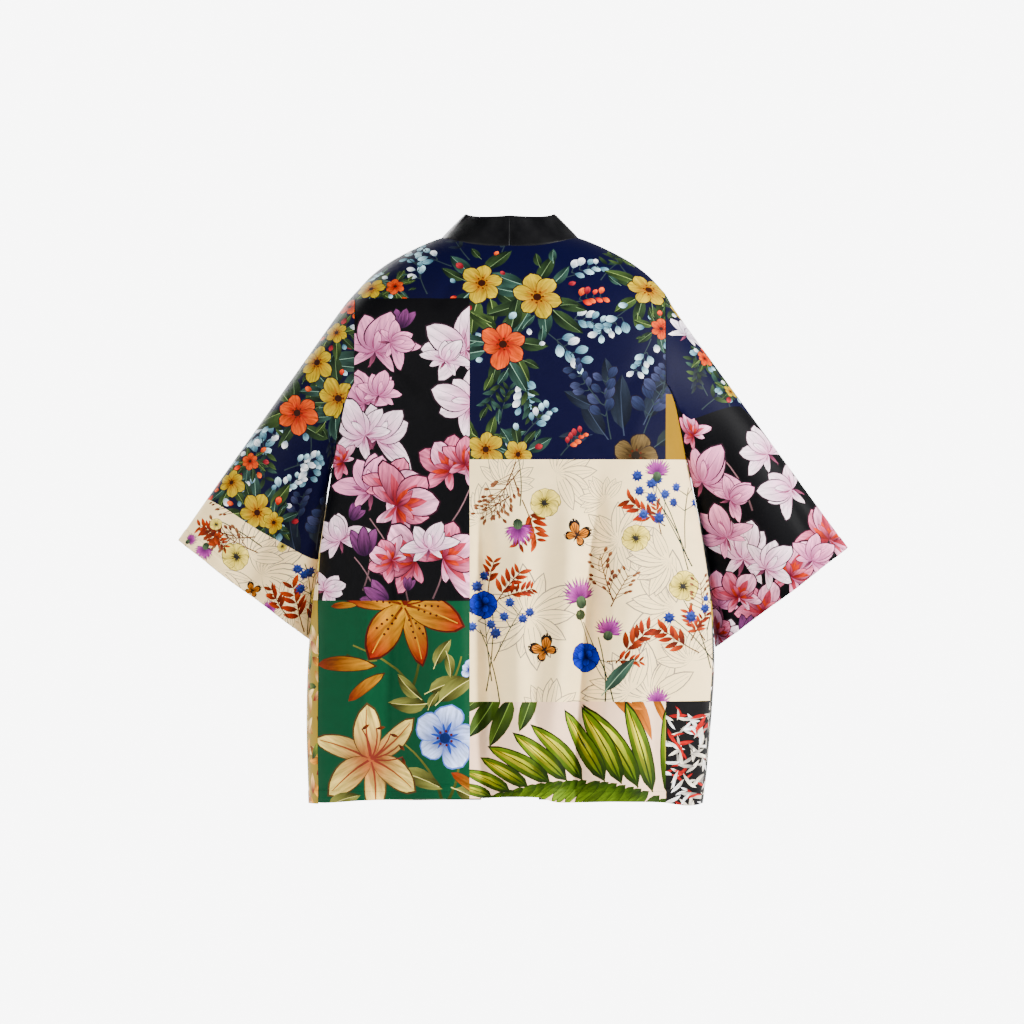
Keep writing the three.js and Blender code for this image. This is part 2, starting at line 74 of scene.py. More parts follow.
Section = namedtuple("Section", "z left right back front")
BODY_SECTIONS = [
    Section(-740, 267, 255, 101, 97),
    Section(-700, 268.5, 260.5, 100, 96),
    Section(-650, 270, 265, 99, 95),
    Section(-600, 270, 269, 98, 94),
    Section(-550, 268.5, 271.5, 98, 94),
    Section(-500, 265, 270, 98, 94),
    Section(-450, 259.5, 266, 99, 95),
    Section(-400, 253, 258, 101, 96),
    Section(-350, 245.5, 249, 103, 97),
    Section(-300, 238, 239, 105, 98),
    Section(-270, 237, 237.5, 107, 98),
    Section(-235, 242, 242, 108, 97),
    Section(-178, 254, 254, 108, 94),
    Section(60, 254, 254, 108, 94),
]
Armhole = namedtuple("Armhole", "z degrees")
ARMHOLE_ANGLES = [
    Armhole(-300, 0),
    Armhole(-285, 8.5),
    Armhole(-270, 14.4),
    Armhole(-235, 24.5),
    Armhole(-202, 33.2),
    Armhole(-178, 39.9),
]
SideSeam = namedtuple("SideSeam", "z left right")
SIDE_SEAM_ANGLES = [
    SideSeam(-740, 20.5, 11),
    SideSeam(-600, 22, 11),
    SideSeam(-520, 20, 9.5),
    SideSeam(-460, 14, 7.5),
    SideSeam(-400, 7, 5),
    SideSeam(-350, 2.5, 2.5),
    SideSeam(-300, 0, 0),
]
Across = namedtuple("Across", "x z")
SHOULDER_LINE = [
    Across(0, 30), Across(45, 27), Across(90, 16), Across(114, 7), Across(144, -7.5), Across(165, -20),
    Across(186, -36.5), Across(205.5, -57.5),
]
BACK_HEM = [
    Across(-260, -735), Across(-235, -737), Across(-200, -732), Across(-140, -730.5), Across(-62, -731),
    Across(-40, -725), Across(0, -724), Across(35, -725.5), Across(110, -726.5), Across(190, -729),
    Across(245, -733.5), Across(260, -733),
]

# Long folds, as in the solids, and then finer creases. Hollows are negative.
Fold = namedtuple("Fold", "start_x hem_x start_z depth width")
BACK_FOLDS = [
    Fold(44, 20, -285, -8, 17), Fold(-12, -14, -300, 6, 20), Fold(-84, -52, -215, 7, 19),
    Fold(-127, -88, -260, -10, 18), Fold(-172, -160, -300, 6, 24), Fold(96, 92, -330, 5, 26),
    Fold(146, 158, -300, -7, 20), Fold(196, 206, -380, 5, 20),
]
FRONT_FOLDS = {
    1: [Fold(120, 128, -190, -8, 18), Fold(162, 168, -250, 7, 20), Fold(196, 208, -310, -7, 17)],
    -1: [Fold(126, 118, -230, -7, 19), Fold(160, 164, -200, 8, 19), Fold(200, 202, -330, -8, 18)],
}
FOLD_WIDENING = 0.25
FADE_SHARE = 0.2
FOLD_DEPTH = 1.25

# Soft dents and ridges a step smaller than the folds: a line from one place to another on the panel
Crease = namedtuple("Crease", "x z end_x end_z depth width")
BACK_CREASES = [
    Crease(40, -290, 24, -733, -12.5, 10), Crease(-124, -255, -90, -733, -14, 11),
    Crease(-86, -290, -58, -640, 7, 15), Crease(-14, -310, -14, -700, 6, 14),
    Crease(-160, -330, -140, -640, 2.8, 12), Crease(80, -360, 74, -733, 2.6, 13),
    Crease(146, -330, 160, -640, -4.0, 9), Crease(196, -350, 206, -690, -3.0, 9),
    Crease(196, -120, 120, -215, -2.6, 12), Crease(200, -165, 138, -290, 2.4, 14),
    Crease(-198, -118, -118, -225, -2.8, 13), Crease(-202, -160, -150, -300, 2.4, 13),
    Crease(66, -12, 92, -80, -1.8, 9), Crease(-62, -10, -96, -84, -1.9, 9),
    Crease(-225, -285, -236, -430, -4.2, 9), Crease(214, -290, 228, -470, -3.4, 11),
    Crease(30, -330, 38, -700, -3.0, 7), Crease(-104, -300, -80, -640, -3.6, 8),
    Crease(62, -390, 58, -724, 2.6, 9), Crease(-140, -350, -122, -720, 2.4, 9),
    Crease(-196, -420, -190, -730, -3.0, 9), Crease(118, -480, 124, -724, -2.2, 8),
    Crease(176, -450, 184, -726, -2.6, 9), Crease(-30, -540, -36, -722, -2.4, 6),
]
FRONT_CREASES = [
    Crease(190, -110, 120, -210, -2.4, 12), Crease(196, -170, 140, -300, 2.2, 13),
    Crease(100, -320, 104, -720, -2.6, 8), Crease(146, -380, 150, -730, 2.6, 9),
    Crease(184, -420, 190, -730, -2.8, 9), Crease(232, -330, 246, -700, -2.6, 11),
]

Ring = namedtuple("Ring", "along top_x top_y top_z low_x low_y low_z depth fuller")
SLEEVES = {
    1: [
        Ring(0, 205.5, 0, -57.5, 238, 0, -300, 74, 0),
        Ring(0.05, 219, 0, -73, 240.5, -5, -316, 69, 0.06),
        Ring(0.25, 268, -3, -141, 247.7, -23, -364, 57, 0.16),
        Ring(0.5, 326, -8, -222.5, 252.6, -33, -416, 50, 0.22),
        Ring(0.75, 384, -14, -304, 261, -40, -468, 46, 0.2),
        Ring(1, 441.5, -20, -386, 266, -48, -520, 43, 0.12),
    ],
    -1: [
        Ring(0, 205.5, 0, -57.5, 239, 0, -300, 74, 0),
        Ring(0.05, 218, 0, -79, 241.8, -5, -316, 69, 0.06),
        Ring(0.25, 266.5, -3, -146, 253.4, -23, -366, 56, 0.16),
        Ring(0.5, 327.5, -8, -229.5, 260.6, -35, -420, 49, 0.22),
        Ring(0.75, 388.5, -14, -313, 267, -40, -475, 46, 0.2),
        Ring(1, 449.5, -20, -396, 275, -48, -529, 43, 0.12),
    ],
}
SLEEVE_LENGTH = 403
SLEEVE_BLEND_END = 0.3
SEAM_GAP = 0.3
FOLDED_SEAM_GAP = 1.9
TURN_UNDER_Z = -137.5
TURN_UNDER_RUN = 120
SleeveFold = namedtuple("SleeveFold", "start_degrees cuff_degrees from_share depth width")
SLEEVE_FOLDS = {
    1: [
        SleeveFold(118, 112, 0.1, -8, 15), SleeveFold(80, 72, 0.35, 5, 17),
        SleeveFold(236, 248, 0.12, -8, 16), SleeveFold(292, 300, 0.3, 5, 18),
        SleeveFold(96, 100, 0.5, -2.5, 7), SleeveFold(140, 132, 0.3, 3, 9),
        SleeveFold(44, 52, 0.45, -2.2, 8), SleeveFold(262, 270, 0.4, -2.5, 8),
    ],
    -1: [
        SleeveFold(128, 120, 0.15, -7, 15), SleeveFold(70, 84, 0.3, 5, 18),
        SleeveFold(240, 232, 0.1, -8, 17), SleeveFold(285, 290, 0.35, 5, 16),
        SleeveFold(104, 98, 0.45, -2.5, 7), SleeveFold(146, 140, 0.35, 2.6, 9),
        SleeveFold(40, 48, 0.5, -2.2, 8), SleeveFold(258, 252, 0.5, -2.5, 8),
    ],
}
Lean = namedtuple("Lean", "way inward upward")
BAND_LEAN = [
    Lean(0, 0.4, 0.92), Lean(1, 0.71, 0.71), Lean(1.25, 0.8, 0.6),
    Lean(1.6, 0.95, 0.3), Lean(2, 1, 0), Lean(3, 1, 0),
]

# Turned hems: their depth, how far they stand proud, and the stitches along them
HEM_DEPTH = 18
HEM_PROUD = 0.5
STITCH_PITCH = 3.4
STITCH_WIDTH = 0.7
STITCH_GAP = -0.45


# A smooth curve through one column of a table
def along(table, key, column, value):
    rows = sorted(table, key=lambda row: getattr(row, key))
    keys = np.array([getattr(row, key) for row in rows], float)
    levels = np.array([getattr(row, column) for row in rows], float)
    slopes = np.empty(len(keys))
    slopes[1:-1] = (levels[2:] - levels[:-2]) / (keys[2:] - keys[:-2])
    slopes[0] = (levels[1] - levels[0]) / (keys[1] - keys[0])
    slopes[-1] = (levels[-1] - levels[-2]) / (keys[-1] - keys[-2])
    value = np.asarray(value, float)
    i = np.clip(np.searchsorted(keys, value, side="right") - 1, 0, len(keys) - 2)
    span = keys[i + 1] - keys[i]
    t = np.clip((value - keys[i]) / span, 0, 1)
    start = levels[i] * (2 * t**3 - 3 * t**2 + 1) + slopes[i] * span * (t**3 - 2 * t**2 + t)
    end = levels[i + 1] * (3 * t**2 - 2 * t**3) + slopes[i + 1] * span * (t**3 - t**2)
    return start + end


def smooth(value):
    t = np.clip(value, 0, 1)
    return t * t * (3 - 2 * t)


# The body's round form
def half_width(side, z):
    left = along(BODY_SECTIONS, "z", "left", z)
    right = along(BODY_SECTIONS, "z", "right", z)
    return np.where(np.asarray(side) > 0, left, right)


def body_xy(side, angle, z):
    back = along(BODY_SECTIONS, "z", "back", z)
    front = along(BODY_SECTIONS, "z", "front", z)
    depth = np.where(np.asarray(angle) > 0, back, front)
    x = side * half_width(side, z) * np.clip(np.cos(angle), 0, 1) ** SECTION_POWER
    y = np.sign(angle) * depth * np.abs(np.sin(angle)) ** SECTION_POWER
    return x, y


def angle_at_x(side, x, z):
    share = np.clip(np.abs(x) / half_width(side, z), 0, 1)
    return np.arccos(share ** (1 / SECTION_POWER))


def front_depth(side, x):
    _, y = body_xy(side, -angle_at_x(side, x, ROUNDING_Z), ROUNDING_Z)
    return -y


def armhole_angle(z):
    return np.radians(along(ARMHOLE_ANGLES, "z", "degrees", z))


def seam_angle(side, z):
    left = along(SIDE_SEAM_ANGLES, "z", "left", z)
    right = along(SIDE_SEAM_ANGLES, "z", "right", z)
    return np.radians(np.where(np.asarray(side) > 0, left, right))


def nape_z(x):
    return NAPE_Z + (NECK_POINT_Z - NAPE_Z) * (x / NECK_HALF_WIDTH) ** 2


# Over the shoulder the cloth lies on a quarter of an ellipse. flat is the height on the cloth
# laid flat, which grows faster there than the height in the air.
ELLIPSE_SHARE = 0.5


def shoulder_rise(x):
    return along(SHOULDER_LINE, "x", "z", np.abs(x)) - ROUNDING_Z


def flat_from_turn(turn, rise, foot_depth):
    return ROUNDING_Z + rise * np.sin(turn) + ELLIPSE_SHARE * foot_depth * (1 - np.cos(turn))


def turn_from_flat(flat, rise, foot_depth):
    bulge = ELLIPSE_SHARE * foot_depth
    reach = np.hypot(rise, bulge)
    lag = np.arctan2(bulge, rise)
    turn = lag + np.arcsin(np.clip((flat - ROUNDING_Z - bulge) / reach, -1, 1))
    return np.clip(turn, 0, QUARTER_TURN)


def flat_from_height(x, z):
    side = np.where(np.asarray(x) > 0, 1, -1)
    _, foot_depth = body_xy(side, angle_at_x(side, x, ROUNDING_Z), ROUNDING_Z)
    rise = shoulder_rise(x)
    turn = np.arcsin(np.clip((np.asarray(z) - ROUNDING_Z) / rise, 0, 1))
    return np.where(np.asarray(z) > ROUNDING_Z, flat_from_turn(turn, rise, foot_depth), z)


def fold_height(folds, x, z):
    height = np.zeros_like(x)
    for fold in folds:
        fall = np.clip((fold.start_z - z) / (fold.start_z - HEM_Z), 0, 1)
        centre = fold.start_x + (fold.hem_x - fold.start_x) * fall
        width = fold.width * (1 + FOLD_WIDENING * fall)
        height += fold.depth * smooth(2 * fall) * np.exp(-(((x - centre) / width) ** 2))
    return height


def crease_height(creases, x, z):
    height = np.zeros_like(x)
    for crease in creases:
        run = np.array([crease.end_x - crease.x, crease.end_z - crease.z], float)
        length = np.hypot(*run)
        run /= length
        way = (x - crease.x) * run[0] + (z - crease.z) * run[1]
        wander = 0.35 * crease.width * np.sin(way / length * 5.1 + crease.x)
        off = (x - crease.x) * run[1] - (z - crease.z) * run[0] + wander
        end_fade = smooth(way / (0.35 * length)) * smooth((1.12 * length - way) / (0.3 * length))
        height += crease.depth * end_fade * np.exp(-((off / crease.width) ** 2))
    return height


def hem_height(distance):
    turned = HEM_PROUD * smooth((HEM_DEPTH - distance) / 2)
    groove = -0.5 * np.exp(-(((distance - HEM_DEPTH) / 1.2) ** 2))
    return turned + groove


# Each lift takes places on the flat cloth to the worn form, as an array of points
def lift_back_plain(flat):
    x, t = flat[:, 0], flat[:, 1]
    side = np.where(x > 0, 1, -1)
    z = np.minimum(t, ROUNDING_Z)
    _, y = body_xy(side, angle_at_x(side, x, z), z)
    rise = shoulder_rise(x)
    turn = np.where(t > ROUNDING_Z, turn_from_flat(t, rise, y), 0)
    z = np.where(t > ROUNDING_Z, ROUNDING_Z + rise * np.sin(turn), t)
    return np.column_stack([x, y * np.cos(turn), z])


def back_relief(flat, points):
    x, z = points[:, 0], points[:, 2]
    edge = back_edge_x(x, z)
    last = 1 - np.abs(x) / edge
    fade = smooth(last / (2 * FADE_SHARE))
    hem = along(BACK_HEM, "x", "z", x)
    soft = smooth(last / 0.04)
    creases = crease_height(BACK_CREASES, x, z) * soft
    folds = FOLD_DEPTH * fade * fold_height(BACK_FOLDS, x, z)
    return folds + creases + hem_height(z - hem)


def back_edge_x(x, z):
    side = np.where(x > 0, 1, -1)
    low = np.minimum(z, ROUNDING_Z)
    angle = np.where(z < UNDERARM_Z, seam_angle(side, low), armhole_angle(low))
    edge, _ = body_xy(side, angle, low)
    return np.abs(edge)


class FrontLift:
    """A front panel's flat cloth is measured round the body from its front edge."""

    ROWS = 64
    STEPS = 120
    PAST_SIDE = math.radians(-36)
    EDGE_FADE = 30
    SIDE_FADE = 40
    BAND_FADE = 8

    def __init__(self, side):
        self.side = side
        self.heights = np.linspace(HEM_Z - 8, ROUNDING_Z, self.ROWS)
        self.angles = []
        self.arcs = []
        for z in self.heights:
            first = float(angle_at_x(side, FRONT_EDGE_X - 1, z))
            angles = np.linspace(first, self.PAST_SIDE, self.STEPS)
            x, y = body_xy(side, -angles, np.full(self.STEPS, z))
            steps = np.hypot(np.diff(x), np.diff(y))
            self.angles.append(angles)
            self.arcs.append(FRONT_EDGE_X - 1 + np.concatenate([[0], np.cumsum(steps)]))

    def angle_at(self, s, z):
        k = np.clip((z - self.heights[0]) / (self.heights[1] - self.heights[0]), 0, self.ROWS - 1.001)
        row = k.astype(int)
        angle = np.zeros_like(s)
        for i in np.unique(row):
            pick = row == i
            low = np.interp(s[pick], self.arcs[i], self.angles[i])
            high = np.interp(s[pick], self.arcs[i + 1], self.angles[i + 1])
            angle[pick] = low + (high - low) * (k[pick] - i)
        return angle

    def arc_at(self, angle, z):
        row = round((z - self.heights[0]) / (self.heights[1] - self.heights[0]))
        k = int(np.clip(row, 0, self.ROWS - 1))
        return float(np.interp(-angle, -self.angles[k], self.arcs[k]))

    def plain(self, flat):
        s, t = flat[:, 0], flat[:, 1]
        z = np.minimum(t, ROUNDING_Z)
        x, y = body_xy(self.side, -self.angle_at(s, z), z)
        rise = shoulder_rise(x)
        turn = np.where(t > ROUNDING_Z, turn_from_flat(t, rise, -y), 0)
        z = np.where(t > ROUNDING_Z, ROUNDING_Z + rise * np.sin(turn), t)
        return np.column_stack([x, y * np.cos(turn), z])

    def relief(self, flat, points):
        across, z = np.abs(points[:, 0]), points[:, 2]
        s = flat[:, 0]
        edge = smooth((s - FRONT_EDGE_X) / self.EDGE_FADE)
        near_side = smooth((np.abs(back_edge_x(points[:, 0], z) - across)) / self.SIDE_FADE)
        fade = edge * np.where(points[:, 1] < 0, near_side, 0)
        near_band = smooth((s - FRONT_EDGE_X) / self.BAND_FADE)
        creases = crease_height(FRONT_CREASES, s, z) * near_band * near_side
        return fade * fold_height(FRONT_FOLDS[self.side], across, z) + creases + hem_height(z - HEM_Z)


class SleeveLift:
    """Half a sleeve's flat cloth lies on the photograph's plane, unrolled from the middle of the ring."""

    ROWS = 90
    STEPS = 61

    def __init__(self, side, half):
        self.side = side
        self.half = half
        self.shares = np.linspace(0, 1, self.ROWS)
        self.turns = np.linspace(0, math.pi, self.STEPS)
        self.middles = []
        self.ups = []
        self.arcs = []
        for share in self.shares:
            ring = self.ring(np.full(self.STEPS, share), self.turns, 1)
            steps = np.linalg.norm(np.diff(ring, axis=0), axis=1)
            arc = np.concatenate([[0], np.cumsum(steps)])
            middle = self.STEPS // 2
            self.arcs.append(arc[middle] - arc)
            self.middles.append(ring[middle, [0, 2]])
            up = ring[0, [0, 2]] - ring[-1, [0, 2]]
            self.ups.append(up / np.linalg.norm(up))
        self.middles = np.array(self.middles)
        self.ups = np.array(self.ups)

    def armhole(self, turns, half):
        fall = (1 - np.cos(turns)) / 2
        z = SHOULDER_Z + (UNDERARM_Z - SHOULDER_Z) * fall
        low = np.minimum(z, ROUNDING_Z)
        x, y = body_xy(self.side, half * armhole_angle(low), low)
        rise = (z - ROUNDING_Z) / (SHOULDER_Z - ROUNDING_Z)
        turn = np.where(rise > 0, np.arcsin(np.clip(rise, 0, 1)), 0)
        points = np.column_stack([x, y * np.cos(turn), z])
        folded = smooth((TURN_UNDER_Z - z) / TURN_UNDER_RUN)
        points[:, 0] += self.side * (SEAM_GAP + (FOLDED_SEAM_GAP - SEAM_GAP) * folded)
        return points

    def oval(self, share, turns, half):
        table = SLEEVES[self.side]
        at = {name: along(table, "along", name, share) for name in Ring._fields[1:]}
        top = np.column_stack([self.side * at["top_x"], at["top_y"], at["top_z"]])
        low = np.column_stack([self.side * at["low_x"], at["low_y"], at["low_z"]])
        cosine = np.cos(turns)[:, None]
        points = (top + low) / 2 + (top - low) / 2 * cosine
        swell = at["depth"] * np.sin(turns) * (1 + at["fuller"] * np.cos(turns))
        points[:, 1] += half * swell
        return points

    def ring(self, share, turns, half):
        offset = self.armhole(turns, half) - self.oval(np.zeros_like(share), turns, half)
        blend = smooth(share / SLEEVE_BLEND_END)[:, None]
        return self.oval(share, turns, half) + offset * (1 - blend)

    def share_at(self, flat):
        low = np.full(len(flat), 0.0)
        high = np.full(len(flat), 1.0)
        for _ in range(24):
            mid = (low + high) / 2
            beyond = self.off_line(flat, mid) > 0
            low = np.where(beyond, mid, low)
            high = np.where(beyond, high, mid)
        return (low + high) / 2

    def frame_at(self, share):
        k = np.clip(share * (self.ROWS - 1), 0, self.ROWS - 1.001)
        i = k.astype(int)
        part = (k - i)[:, None]
        middle = self.middles[i] * (1 - part) + self.middles[i + 1] * part
        up = self.ups[i] * (1 - part) + self.ups[i + 1] * part
        return middle, up

    def off_line(self, flat, share):
        middle, up = self.frame_at(share)
        off = flat - middle
        return self.side * (off[:, 0] * up[:, 1] - off[:, 1] * up[:, 0])

    def turn_at(self, arc, share):
        k = np.clip(share * (self.ROWS - 1), 0, self.ROWS - 1.001)
        row = k.astype(int)
        turn = np.zeros_like(arc)
        for i in np.unique(row):
            pick = row == i
            low = np.interp(-arc[pick], -self.arcs[i], self.turns)
            high = np.interp(-arc[pick], -self.arcs[i + 1], self.turns)
            turn[pick] = low + (high - low) * (k[pick] - i)
        return turn

    def place(self, flat):
        share = self.share_at(flat)
        middle, up = self.frame_at(share)
        arc = np.sum((flat - middle) * up, axis=1)
        return share, self.turn_at(arc, share)

    def plain(self, flat):
        share, turn = self.place(flat)
        return self.ring(share, turn, self.half)

    def relief(self, flat, points):
        share, turn = self.place(flat)
        degrees = np.degrees(turn)
        degrees = degrees if self.half > 0 else 360 - degrees
        height = np.zeros_like(share)
        for fold in SLEEVE_FOLDS[self.side]:
            way = np.clip((share - fold.from_share) / (1 - fold.from_share), 0, 1)
            centre = fold.start_degrees + (fold.cuff_degrees - fold.start_degrees) * way
            height += fold.depth * smooth(2 * way) * np.exp(-(((degrees - centre) / fold.width) ** 2))
        return height + hem_height((1 - share) * SLEEVE_LENGTH)


def normals_of(place, flat, step=0.4):
    right = place(flat + np.array([step, 0])) - place(flat - np.array([step, 0]))
    up = place(flat + np.array([0, step])) - place(flat - np.array([0, step]))
    normal = np.cross(right, up)
    return normal / np.maximum(np.linalg.norm(normal, axis=1), 1e-9)[:, None]


def formed(plain, relief, outward):
    def place(flat):
        points = plain(flat)
        normals = normals_of(plain, flat)
        facing = np.sign(np.sum(normals * outward(points), axis=1))[:, None]
        return points + normals * facing * relief(flat, points)[:, None]

    return place


# Inks: how a printed colour, as seen in plain daylight, becomes the reflectance of the dyed cloth
DYE_SCALE = 0.13
DYE_POWER = 1.5
DYE_WHITE = 1.05
DYE_RISE = 0.9
DYE_SATURATION = 1.08
DYE_BRIGHTEST = 0.9


def ink(code):
    seen = np.array([int(code[i:i + 2], 16) / 255 for i in (1, 3, 5)])
    dye = DYE_SCALE * seen**DYE_POWER / (DYE_WHITE - seen) ** DYE_RISE
    grey = dye @ np.array([0.3, 0.5, 0.2])
    dye = np.clip(grey + (dye - grey) * DYE_SATURATION, 0.0004, None)
    return dye * min(1.0, DYE_BRIGHTEST / dye.max())


def to_plane(px, py):
    return np.column_stack([(MIDDLE_X - np.asarray(px, float)) * PIXEL,
                            (MIDDLE_Y - np.asarray(py, float)) * PIXEL])


# Flat outlines of blades, discs and strokes, about a root at 0, 0 that points up
def blade(length, width, bias=1.0, fullness=0.8, steps=7, bend=0.0):
    s = np.linspace(0, 1, steps + 1)
    half = 0.5 * width * np.sin(np.pi * s**bias) ** fullness
    spine = bend * length * s**2
    left = np.column_stack([spine - half, s * length])
    right = np.column_stack([spine + half, s * length])[::-1]
    return np.vstack([left, right[1:-1]])


def disc(radius, steps=10, squash=1.0):
    turn = np.linspace(0, 2 * np.pi, steps, endpoint=False)
    return np.column_stack([radius * np.cos(turn), squash * radius * np.sin(turn)])


def strip(points, width, taper=0.5):
    points = np.asarray(points, float)
    run = np.gradient(points, axis=0)
    run /= np.maximum(np.linalg.norm(run, axis=1), 1e-9)[:, None]
    side = np.column_stack([-run[:, 1], run[:, 0]])
    half = 0.5 * width * np.linspace(1, taper, len(points))[:, None]
    return np.vstack([points + side * half, (points - side * half)[::-1]])


def curve(start, middle, end, steps=6):
    t = np.linspace(0, 1, steps + 1)[:, None]
    start, middle, end = (np.asarray(p, float) for p in (start, middle, end))
    return start * (1 - t) ** 2 + 2 * middle * t * (1 - t) + end * t**2


class Print:
    """The print on one flat piece: patches, and in them shapes drawn one over another."""

    PATCH_STEP = 6

    def __init__(self, flatten):
        self.flatten = flatten
        self.patches = []
        self.shapes = []
        self.patch = None
        self.random = random.Random(SEED)

    def begin(self, name, corners, ground):
        xs, ys = [], []
        for (ax, ay), (bx, by) in zip(corners, corners[1:] + corners[:1]):
            steps = max(1, int(max(abs(bx - ax), abs(by - ay)) / self.PATCH_STEP))
            for k in range(steps):
                xs.append(ax + (bx - ax) * k / steps)
                ys.append(ay + (by - ay) * k / steps)
        self.patches.append((self.flatten(to_plane(xs, ys)), ink(ground)))
        self.patch = len(self.patches)

    def draw(self, outline, x, y, size, turn, base, tip, streak=0.0, reach=None):
        outline = np.asarray(outline, float)
        a = math.radians(turn)
        px = x + size * (outline[:, 0] * math.cos(a) + outline[:, 1] * math.sin(a))
        py = y + size * (outline[:, 0] * math.sin(a) - outline[:, 1] * math.cos(a))
        root = to_plane([x], [y])
        moved = self.flatten(root) - root
        points = to_plane(px, py) + moved
        heading = np.array([-math.sin(a), math.cos(a)])
        top = outline[:, 1].max() if reach is None else reach
        low = min(outline[:, 1].min(), 0) if reach is None else 0
        start = (root + moved)[0] + heading * low * size * PIXEL
        self.shapes.append({
            "points": points, "patch": self.patch, "base": ink(base), "tip": ink(tip), "start": start,
            "heading": heading, "length": max((top - low) * size * PIXEL, 1.0), "streak": streak,
        })


def jitter(pen, amount):
    return pen.random.uniform(-amount, amount)


def onward(x, y, distance, turn):
    """The place this far from x, y, where a turn of 0 is up in the photograph."""
    a = math.radians(turn)
    return x + distance * math.sin(a), y - distance * math.cos(a)


# Motifs. Each is drawn by the pen at a place in the photograph's pixels, with a size and a turn.
INK_LINE = "#1d1420"

# Grounds of the patches
NAVY = "#020232"
BLACK = "#060509"
GOLD = "#b49200"
CREAM = "#f3ecd6"
GREEN = "#005a34"
BLUSH = "#eee2d2"
INK_BLACK = "#0c0a0b"
STRAW = "#c0aa48"


def petal(pen, x, y, size, turn, width, base, tip, edge, streak=0.8, bias=1.35, bend=0.06):
    pen.draw(blade(1.025, width * 1.06, bias, 0.6, 8, bend), x, y, size, turn, edge, edge)
    pen.draw(blade(0.98, width * 0.96, bias, 0.6, 8, bend), x, y, size, turn, base, tip, streak)


def leaf(pen, x, y, size, turn, dark="#14241a", light="#42603a", vein="#9db078", width=0.42, bend=0.12):
    pen.draw(blade(1, width, 0.85, 0.75, 6, bend), x, y, size, turn, dark, light, 0.6)
    half = blade(1, width, 0.85, 0.75, 6, bend)
    middle = np.column_stack([bend * np.linspace(1, 0, 7) ** 2, np.linspace(1, 0, 7)])
    pen.draw(np.vstack([half[:7], middle[1:-1]]), x, y, size, turn, light, dark, 0.6)
    if vein:
        spine = np.column_stack([bend * np.linspace(0, 0.92, 5) ** 2, np.linspace(-0.12, 0.92, 5)])
        pen.draw(strip(spine, 0.024, 0.3), x, y, size, turn, vein, vein)


def open_flower(pen, x, y, size, turn, base, tip, odd, heart="#3a1408", petals=6, width=0.7, edge=INK_LINE):
    for k in range(petals):
        spin = turn + 360 / petals * k + jitter(pen, 9)
        scale = size * (1.02 + jitter(pen, 0.12)) * (0.84 + 0.16 * abs(math.cos(math.radians(spin + 20))))
        inner = odd if k == petals - 2 else base
        petal(pen, x, y, scale, spin, width, inner, tip, edge, 0.9, 1.5)
        pen.draw(blade(0.55, 0.1, 1.1, 0.7, 4, 0.1), x, y, scale, spin + 9, odd, base)
        pen.draw(blade(0.48, 0.08, 1.1, 0.7, 4, -0.1), x, y, scale, spin - 10, odd, base)
    pen.draw(disc(0.17, 8), x, y, size, 0, heart, heart)
    for k in range(7):
        tx, ty = onward(x, y, size * 0.22, 52 * k + turn)
        pen.draw(disc(0.05, 5), tx, ty, size, 0, "#6a2410", "#6a2410")


def berry(pen, x, y, size, color="#c2352a", shine="#f08a5c"):
    pen.draw(disc(1, 8), x, y, size, 0, color, color, 0.3)
    pen.draw(disc(0.36, 5), x - 0.3 * size, y - 0.3 * size, size, 0, shine, shine)


def globe(pen, x, y, size, color, shine):
    """A round flower head made of short rays."""
    for k in range(9):
        pen.draw(blade(1.1, 0.46, 1, 0.6, 3), x, y, size, 40 * k + jitter(pen, 8), color, shine, 0.6)
    pen.draw(disc(0.78, 9), x, y, size, 0, color, shine, 0.9)
    pen.draw(disc(0.34, 7), x, y, size, 0, shine, color, 0.9)


# What stands on a twig's short stalks
def twig_end(pen, kind, x, y, length, reach, spin, paints, color):
    if kind == "leaf":
        pen.draw(blade(1, 0.34, 0.9, 0.8, 5, 0.08), x, y, reach * 1.35, spin, *paints, 0.6)
    elif kind == "pod":
        ex, ey = onward(x, y, reach * 0.35, spin)
        pen.draw(strip([(0, 0), (0, 0.5)], 1.1 / reach, 0.7), x, y, reach, spin, color, color)
        petal(pen, ex, ey, reach * 1.05, spin, 0.66, *paints, INK_LINE, 0.7, 1.15)
    else:
        ex, ey = onward(x, y, reach, spin)
        pen.draw(strip([(0, 0), (0, 1)], 0.9 / reach, 0.7), x, y, reach, spin, color, color)
        if kind == "drop":
            pen.draw(blade(1, 0.5, 1.2, 0.7, 5), ex, ey, min(6.5, length * 0.16), spin, *paints, 0.8)
        elif kind == "globe":
            globe(pen, ex, ey, min(5.2, length * 0.085), *paints)
        else:
            berry(pen, ex, ey, length * 0.085, *paints)


def twig(pen, x, y, length, turn, color, tips, kind="berry", pairs=4, bend=0.25, first=0.3):
    spine = curve((0, 0), (bend * 0.2, 0.5), (bend, 1), 5)
    pen.draw(strip(spine, 1.3 / length, 0.5), x, y, length, turn, color, color)
    a = math.radians(turn)
    for k in range(pairs):
        way = first + (1 - first) * (k + 0.5) / pairs
        sx, sy = bend * way**2, way
        bx = x + length * (sx * math.cos(a) + sy * math.sin(a))
        by = y + length * (sx * math.sin(a) - sy * math.cos(a))
        for hand in (-1, 1):
            spin = turn + hand * (46 + jitter(pen, 14))
            reach = length * (0.3 - 0.1 * way) * (1 + jitter(pen, 0.15))
            paints = tips[pen.random.randrange(len(tips))]
            twig_end(pen, kind, bx, by, length, reach, spin, paints, color)


